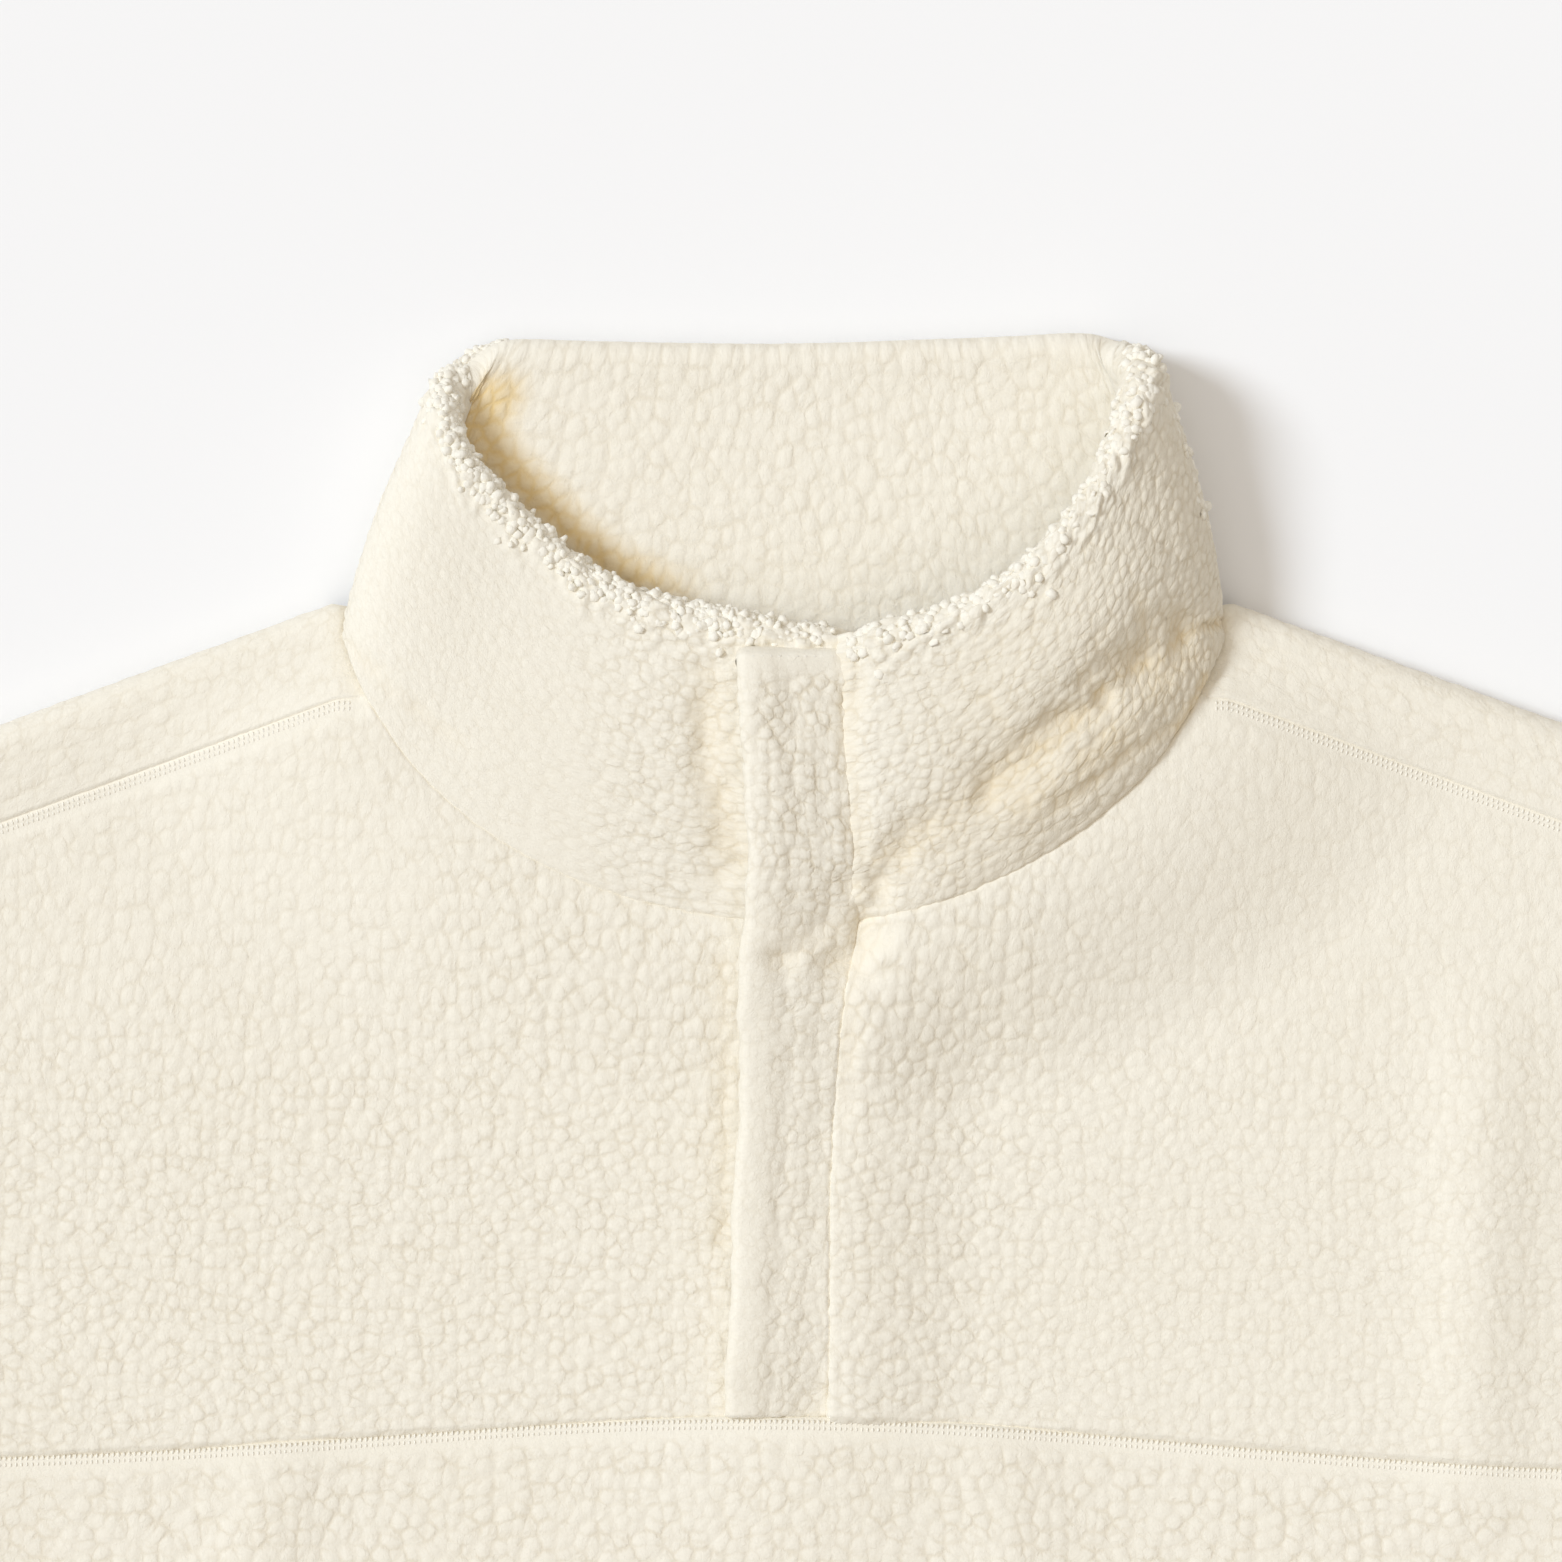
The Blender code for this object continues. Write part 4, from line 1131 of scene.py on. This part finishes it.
def collar():
    """The outer and the inner collar, which meet over the rim, and the curls along the rim."""
    face = collar_form()
    normals = unit(box_blur(box_blur(grid_normals(face), 5), 5))
    radius = COLLAR_WALL / 2 + RIM_SWELL
    keep = int(radius / COLLAR_FINE)
    to_rim = from_row(face, -1)
    on_top = smooth((face[:, :, 2] - EDGE_RADIUS) / EDGE_RADIUS)
    swell = RIM_SWELL * np.exp(-(to_rim / RIM_REACH) ** 2)
    # Creases in the collar's face, with their painted golden shade
    depth, gold = trough(face[:, :, 0], face[:, :, 1], COLLAR_CREASES)
    from_base = from_row(face, 0)
    shallow = smooth((face[:, :, 0] - 35.0) / 15.0) * (1.0 - smooth(from_base / 8.0))
    depth = depth * (1.0 - 0.8 * shallow)
    face_out = (face + normals * (swell * on_top - depth * on_top)[:, :, None])[:-keep]
    face_in = (face - normals * (COLLAR_WALL + swell)[:, :, None])[:-keep]
    gold = (gold * on_top)[:-keep]
    middle = (face_out[-1] + face_in[-1]) / 2
    half = (face_out[-1] - face_in[-1]) / 2
    up = face_out[-1] - face_out[-5] + face_in[-1] - face_in[-5]
    up = unit(up) * np.linalg.norm(half, axis=1)[:, None]
    raised = smooth((face[-1, :, 2] - EDGE_RADIUS) / 8.0)
    meet = math.pi * (BACK_MEET + (FRONT_MEET - BACK_MEET) * raised)
    top = int(0.88 * math.pi * radius / COLLAR_FINE)

    def over_rim(angles):
        """Points round the rim, at angles from its outer side."""
        return middle + half * np.cos(angles)[:, :, None] + up * np.sin(angles)[:, :, None]

    outer_turn = np.linspace(0.0, 1.0, top + 1)[1:, None] * meet
    inner_turn = meet + np.linspace(0.0, 1.0, 7)[:-1, None] * (math.pi - meet)
    outer = np.concatenate([face_out, over_rim(outer_turn)])
    inner = np.concatenate([over_rim(inner_turn), face_in[::-1]])
    normals = np.concatenate([normals[:-keep], np.repeat(normals[-1:], top, axis=0)])
    gold = np.concatenate([gold, np.zeros((top, gold.shape[1]))])
    outside, curls = outer_collar(outer, normals, gold, raised, top)
    return outside, inner_collar(inner, middle, raised), curls


def outer_collar(outer, normals, gold, raised, top):
    """The outer collar, with a flange below its seam, and the curls of its rim.

    The last rows of the grid, as many as top says, go over the rim.
    """
    below_rim = len(outer) - top
    to_base = from_row(outer, 0)
    outer = outer - normals * edge_drop(to_base, NECK_EDGE)[:, :, None]
    outer[:, :, 2] = np.maximum(outer[:, :, 2], 0.0)
    x = outer[:, :, 0]
    along, around = np.mgrid[0:outer.shape[0], 0:outer.shape[1]] * COLLAR_FINE
    rim = np.exp(-(from_row(outer, -top) / 7.0) ** 2)
    over_rim = np.concatenate([np.zeros(below_rim), np.linspace(0.0, 1.0, top)])[:, None]
    joint = 1.0 - smooth((over_rim - 0.86) / 0.12)
    tufted = soft_noise(along, around, 2.1, 31) + 0.5 * soft_noise(along, around, 4.6, 32)
    tuft = rim * TUFT * np.maximum(tufted, -0.15) * joint
    high = smooth((outer[:, :, 2] - 12.0) / 4.0)
    left = smooth((-x - 5.0) / 30.0) * high
    right = smooth((x - 20.0) / 30.0) * high
    low = 1.0 - smooth((to_base - 26.0) / 14.0)
    plain = left * smooth((-x - 32.0) / 25.0)
    amp = (0.75 + 0.3 * smooth(to_base / 5.0)) * (1.0 + 0.1 * left - 0.7 * plain + 0.1 * right * low)
    amp = amp * joint
    # Painted shade on the right side of the collar, away from the rim
    shade = PAINTED_SHADE * right * (1.0 - rim)
    downwards = outer[:1] - outer[1:2]
    flange = [outer[:1] + lean * downwards - normals[:1] * fall for lean, fall in COLLAR_FLANGE]
    outer = np.concatenate([*flange, outer])
    curls = tufts("collar_rim_tufts", outer, raised, below_rim + len(flange))
    amp, gold, tuft, shade = [np.pad(field, ((len(flange), 0), (0, 0)), mode="edge")
                              for field in (amp, gold, tuft, shade)]
    outer, amp = skirted(outer, amp, ("left",), COLLAR_END)
    outer, amp = skirted(outer, amp, ("right",), COLLAR_UNDERLAP)
    ends = (len(COLLAR_END), len(COLLAR_UNDERLAP))
    gold, tuft, shade = [np.pad(field, ((0, 0), ends), mode="edge") for field in (gold, tuft, shade)]
    outside = fleece_piece("collar_outer_fleece", [outer], 8, amp, lift=0.35, pit_shade=gold, shade=shade,
                           lays=[grid_lay(outer, 1.25, 1.5)], tuft=tuft)
    return outside, curls


def inner_collar(inner, middle, raised):
    """The inner collar, whose nubs stand higher below the rim on the left, with painted golden shade there.
    """
    x = inner[:, :, 0]
    y = inner[:, :, 1]
    from_rim = from_row(inner, 0)
    on_left = (middle[:, 0] < -14.0) & (middle[:, 1] < 62.0) & (raised > 0.02)
    rim_line = middle[on_left][::4, :2]
    from_line = np.linalg.norm(inner[:, :, None, :2] - rim_line, axis=3).min(axis=2)
    beside = 1.0 - smooth((from_line - 8.0 - 2.0 * smooth((y - 8.0) / 30.0)) / 10.0)
    reach = smooth((-14.0 - x) / 24.0) * smooth((61.0 - y) / 10.0)
    shaded = (1.0 - smooth((from_line - 4.0) / 5.0)) * (1.0 - smooth((y - 30.0) / 14.0))
    # Painted golden shade below the left rim, weaker where the rim's real shadow already falls
    gold = beside * reach * (1.0 - 0.7 * shaded) * smooth((from_rim - 3.0) / 4.0)
    amp = (0.75 + 0.3 * gold) * smooth((from_rim - 0.5) / 3.0)
    return fleece_piece("collar_inner_fleece", [inner], 9, amp, lift=0.35, pit_shade=gold,
                        lays=[grid_lay(inner, 1.2, 0.8)])


def strip_seat(y):
    """Height of what the strip lies on: the left collar end, then the left front."""
    left = COLLAR[-2]
    v = np.clip((y - left.base_y) / (left.rim_y - left.base_y), 0.0, 1.0)
    on_collar = left.base_z + (left.rim_z - left.base_z) * v + left.swell * 4 * v * (1 - v)
    on_front = front_level(np.full(np.shape(y), 0.0), np.minimum(y, left.base_y), -1)
    return np.where(y > left.base_y, on_collar, on_front)


def placket_strip():
    """The strip down the opening, with a soft folded free edge on its left."""
    y = np.arange(STRIP_BOTTOM, STRIP_TOP, STRIP_FINE)
    radius = STRIP_WALL / 2
    wander = 0.8 * soft_noise(np.zeros(len(y)), y, 13.0, 52) + 0.35 * soft_noise(np.zeros(len(y)), y, 3.6, 53)
    left = (free_x(y) + wander)[:, None] + radius
    right = sewn_x(y)[:, None]
    share = np.linspace(1.0, 0.0, int(STRIP_WIDTH / STRIP_FINE))
    x = right + (left - right) * share
    to_free = x - free_x(y)[:, None]
    to_sewn = right - x
    down = np.repeat(y[:, None], x.shape[1], axis=1)
    bottom = chest_seam_y(x)
    down = np.maximum(down, bottom)
    level = (strip_seat(y) + STRIP_CLEARANCE + STRIP_WALL)[:, None] + np.zeros_like(x)
    level = level + 0.5 * np.exp(-((to_free - 5.5) / 4.0) ** 2) - 0.4 * np.exp(-((to_free - 12.0) / 3.0) ** 2)
    level = level - STRIP_TILT * smooth((to_free - 8.0) / 16.0)
    level = level + 0.45 * soft_noise(x, down, 10.0, 51)
    level = level - STRIP_END_SINK * (1.0 - smooth((down - bottom) / 16.0))
    # Troughs of the strip's creases, with their painted golden shade
    depth, gold = trough(x, down, STRIP_CREASES)
    level = level - depth - edge_drop(to_sewn, STRIP_EDGE) - edge_drop(down - bottom, STRIP_END_EDGE)
    level = level - edge_drop(y[-1] - down, STRIP_TURN)
    grid = np.stack([x, down, level], axis=2)
    stitched = len(y) - 1 - round(1.7 / STRIP_FINE)
    dashes = stitches("strip_stitches", [grid[stitched, 2:-2] - np.array([0.0, 0.0, 0.15])], along=True)
    sideways = grid.transpose(1, 0, 2)[::-1]
    sideways = wrapped(sideways, grid_normals(grid)[:, 0], radius, 9.0, STRIP_FINE)
    grid = sideways[::-1].transpose(1, 0, 2)
    gold = np.pad(gold, ((0, 0), (grid.shape[1] - gold.shape[1], 0)), mode="edge")
    on_collar = smooth((grid[:, :, 1] + 85.0) / 20.0)
    band = 6.5 - 4.0 * on_collar
    plush = 0.4 + 0.45 * on_collar
    amp = plush + 0.55 * smooth((grid[:, :, 0] - free_x(grid[:, :, 1]) - band) / 5.0)
    amp = amp * (1.0 - 0.85 * smooth((grid[:, :, 1] + 21.0) / 4.0))
    grid, amp = skirted(grid, amp, ("bottom", "top"))
    grid, amp = skirted(grid, amp, ("right",), STRIP_LAP)
    gold = np.pad(gold, ((len(SKIRT), len(SKIRT)), (0, len(STRIP_LAP))), mode="edge")
    lay = lay_flat(grid) * 1.3
    return fleece_piece("placket_strip_fleece", [grid], 10, amp, pit_shade=gold, lays=[lay]), dashes


def tufts(name, grid, raised, rim_row):
    """Small curls of pile that stand out along the rim and along the collar's right outline."""
    rng = np.random.default_rng(23)
    normals = grid_normals(grid)
    x, y, z = grid.transpose(2, 0, 1)
    rows = np.arange(len(grid))[:, None]
    left = smooth((10.0 - x) / 40.0)
    chance = raised * np.exp(-((rows - rim_row - 5.0) / 6.5) ** 2) * (0.3 + 0.7 * left)
    outline = (np.abs(normals[:, :, 2]) < 0.45) & (x > 40.0) & (z > 5.0) & (rows > 45)
    chance = np.maximum(chance, 0.07 * outline * raised)
    corner = np.exp(-((x + 75.0) / 6.5) ** 2 - ((y - 63.0) / 6.0) ** 2)
    chance = np.maximum(chance, 0.9 * corner * (z > 2.5)) * (rows < len(grid) - 4)
    picked = rng.choice(chance.size, TUFT_COUNT, replace=False, p=(chance / chance.sum()).ravel())
    bases = grid.reshape(-1, 3)[picked]
    heads = normals.reshape(-1, 3)[picked] + rng.normal(0.0, 0.3, (TUFT_COUNT, 3))
    heads = unit(heads)
    bends = rng.normal(0.0, 0.55, (TUFT_COUNT, 3))
    bases = bases - heads * 0.9
    lengths = rng.uniform(*TUFT_LENGTHS, TUFT_COUNT)
    widths = rng.uniform(*TUFT_WIDTHS, TUFT_COUNT)
    side = unit(np.cross(heads, [0.3, 0.5, 0.8]))
    other = np.cross(heads, side)
    points = []
    for along, thickness in TUFT_RINGS:
        bend = bends * (along ** 2 * lengths)[:, None] * TUFT_BEND
        centre = bases + heads * (along * lengths)[:, None] + bend
        for angle in np.linspace(0.0, 2 * math.pi, TUFT_SIDES + 1)[:-1]:
            turned = side * math.cos(angle) + other * math.sin(angle)
            points.append(centre + turned * (thickness * widths)[:, None])
    points = np.stack(points, axis=1).reshape(-1, 3)
    points[:, 1] += HIGH_POINT_Y
    around = np.arange(TUFT_SIDES)
    following = (around + 1) % TUFT_SIDES
    band = np.stack([around, around + TUFT_SIDES, following + TUFT_SIDES, following], axis=1)
    pattern = np.concatenate([band + TUFT_SIDES * ring for ring in range(len(TUFT_RINGS) - 1)])
    size = TUFT_SIDES * len(TUFT_RINGS)
    starts = size * np.arange(TUFT_COUNT)[:, None]
    quads = (starts[:, :, None] + pattern).reshape(-1, 4).tolist()
    tips = (starts + size - 1 - around).tolist()
    mesh = bpy.data.meshes.new(name)
    mesh.from_pydata(points * MM, [], quads + tips)
    mesh.shade_smooth()
    nap = np.column_stack([points[:, :2], np.zeros(len(points))])
    mesh.attributes.new("nap", "FLOAT_VECTOR", "POINT").data.foreach_set("vector", nap.ravel())
    # The curls take the lighter wool, painted light for the light that shines through them
    mesh.materials.append(fleece_material(pale=True))
    return add_object(name, mesh)


def thread_material():
    """Cream sewing thread with a fine twist."""
    material = bpy.data.materials.get("thread")
    if material:
        return material
    values = {"Base Color": THREAD, "Roughness": 0.75, "Specular IOR Level": 0.2}
    material, tree, shader = new_material("thread", values)
    place = tree.nodes.new("ShaderNodeTexCoord").outputs["Object"]
    twist = add_node(tree, "ShaderNodeTexWave", {"Vector": place, "Scale": 900.0, "Distortion": 2.0})
    bump = add_node(tree, "ShaderNodeBump", {"Height": twist.outputs["Fac"], "Distance": 0.00005})
    tree.links.new(bump.outputs["Normal"], shader.inputs["Normal"])
    return material


def stitch_shape():
    """One stitch: a short thread that arches over the cloth, with its ends sunk, as points and faces."""
    points = []
    for along, thickness, lift in STITCH_RINGS:
        radius = THREAD_RADIUS * thickness
        for side in range(THREAD_SIDES):
            angle = 2 * math.pi * side / THREAD_SIDES
            points.append((along * STITCH_LENGTH, radius * math.cos(angle), lift + radius * math.sin(angle)))
    faces = []
    last = (len(STITCH_RINGS) - 1) * THREAD_SIDES
    for near in range(0, last, THREAD_SIDES):
        far = near + THREAD_SIDES
        for side in range(THREAD_SIDES):
            following = (side + 1) % THREAD_SIDES
            faces.append((near + side, near + following, far + following, far + side))
    faces.append(tuple(range(THREAD_SIDES))[::-1])
    faces.append(tuple(range(last, last + THREAD_SIDES)))
    return np.array(points), faces


def stitches(name, lines, along=False):
    """Rows of stitches as one mesh, a row for each line of points, across the line or along it."""
    shape, shape_faces = stitch_shape()
    rng = np.random.default_rng(17)
    pitch = STITCH_PITCH * (1.6 if along else 1.0)
    across = 0.0 if along else math.pi / 2
    points = []
    faces = []
    for line in lines:
        line = resample(line, [0, 1, 2], pitch)
        heading = np.gradient(line, axis=0)
        for place, ahead in zip(line, heading):
            turn = math.atan2(ahead[1], ahead[0]) + across + rng.uniform(-0.16, 0.16)
            size = rng.uniform(0.9, 1.08)
            turned = shape * np.array([size, 1.0, 1.0])
            x = turned[:, 0] * math.cos(turn) - turned[:, 1] * math.sin(turn)
            y = turned[:, 0] * math.sin(turn) + turned[:, 1] * math.cos(turn)
            start = len(points) * len(shape)
            points.append(np.column_stack([x, y, turned[:, 2]]) + place)
            faces.extend(tuple(corner + start for corner in face) for face in shape_faces)
    points = drift(np.concatenate(points))
    points[:, 1] += HIGH_POINT_Y
    mesh = bpy.data.meshes.new(name)
    mesh.from_pydata(points * MM, [], faces)
    mesh.shade_smooth()
    mesh.materials.append(thread_material())
    return add_object(name, mesh)


def chest_stitches():
    """Two rows of short bars just below the chest seam."""
    x = np.linspace(-CHEST_HALF + 12.0, CHEST_HALF - 12.0, 700)
    lines = []
    for below in CHEST_ROWS:
        y = chest_seam_y(x) - below
        lines.append(np.column_stack([x, y, lower_level(x, y)]))
    return stitches("chest_seam_stitches", lines)


def shoulder_stitches(side):
    """Two rows of short bars in front of a shoulder seam."""
    x = side * np.linspace(NECK_SEAM_HALF + 3.0, SHOULDER_HALF - 4.0, 300)
    lines = []
    for below in SHOULDER_ROWS:
        y = shoulder_seam_y(x) - below * SHOULDER_STRETCH
        level = front_level(x, y, side) - SHOULDER_SINK
        lines.append(np.column_stack([x, y, level]))
    return stitches("shoulder_stitches_right" if side > 0 else "shoulder_stitches_left", lines)


def floor():
    """A plain pale floor."""
    size = FLOOR_SIZE
    corners = [(-size, -size, 0), (size, -size, 0), (size, size, 0), (-size, size, 0)]
    mesh = bpy.data.meshes.new("floor")
    mesh.from_pydata(corners, [], [(0, 1, 2, 3)])
    board = add_object("floor", mesh)
    board.location.z = FLOOR_LEVEL
    values = {"Base Color": FLOOR_COLOUR, "Roughness": 0.9, "Specular IOR Level": 0.1}
    mesh.materials.append(new_material("floor", values)[0])


def sun(name, colour, energy, width):
    """A distant light that shines straight down. Its width in degrees softens its shadows."""
    data = bpy.data.lights.new(name, "SUN")
    data.color = colour
    data.energy = energy
    data.angle = math.radians(width)
    return add_object(name, data)


def light():
    """A broad key from the left, a wide soft light from above and a warm surround."""
    world = bpy.data.worlds.new("studio")
    bpy.context.scene.world = world
    world.use_nodes = True
    background = world.node_tree.nodes["Background"]
    background.inputs["Color"].default_value = SURROUND
    background.inputs["Strength"].default_value = 1.0
    sun("above", ABOVE_COLOUR, 0.567, 80.0)
    key = sun("key", KEY_COLOUR, 2.06, 20.0)
    key.rotation_euler = Vector(KEY_TOWARDS).to_track_quat("-Z", "Y").to_euler()


def camera():
    """Straight overhead, framing the collar and chest."""
    data = bpy.data.cameras.new("camera")
    data.sensor_width = SENSOR_WIDTH
    data.lens = SENSOR_WIDTH * (EYE[2] - FOCUS_LEVEL) / SEEN_WIDTH
    data.clip_end = 50.0
    eye = add_object("camera", data)
    eye.location = EYE
    bpy.context.scene.camera = eye


def shown(piece, node, with_pieces=()):
    """Rides the piece and its stitches or curls on the body, in place of its solid."""
    for each in (piece, *with_pieces):
        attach(each, "root")
        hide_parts(node)


def main():
    """The set, and the pullover's pieces."""
    bpy.context.scene.view_settings.view_transform = "Standard"
    camera()
    light()
    floor()
    shown(back(), "back")
    shown(upper_front(-1), "front_upper_left", [shoulder_stitches(-1)])
    shown(upper_front(1), "front_upper_right", [shoulder_stitches(1)])
    shown(lower_front(), "front_lower", [chest_stitches()])
    outside, inside, curls = collar()
    shown(outside, "collar_outer", [curls])
    shown(inside, "collar_inner")
    strip, dashes = placket_strip()
    shown(strip, "placket_strip", [dashes])
    shown(sleeve(-1), "sleeve_left")
    shown(sleeve(1), "sleeve_right")


main()
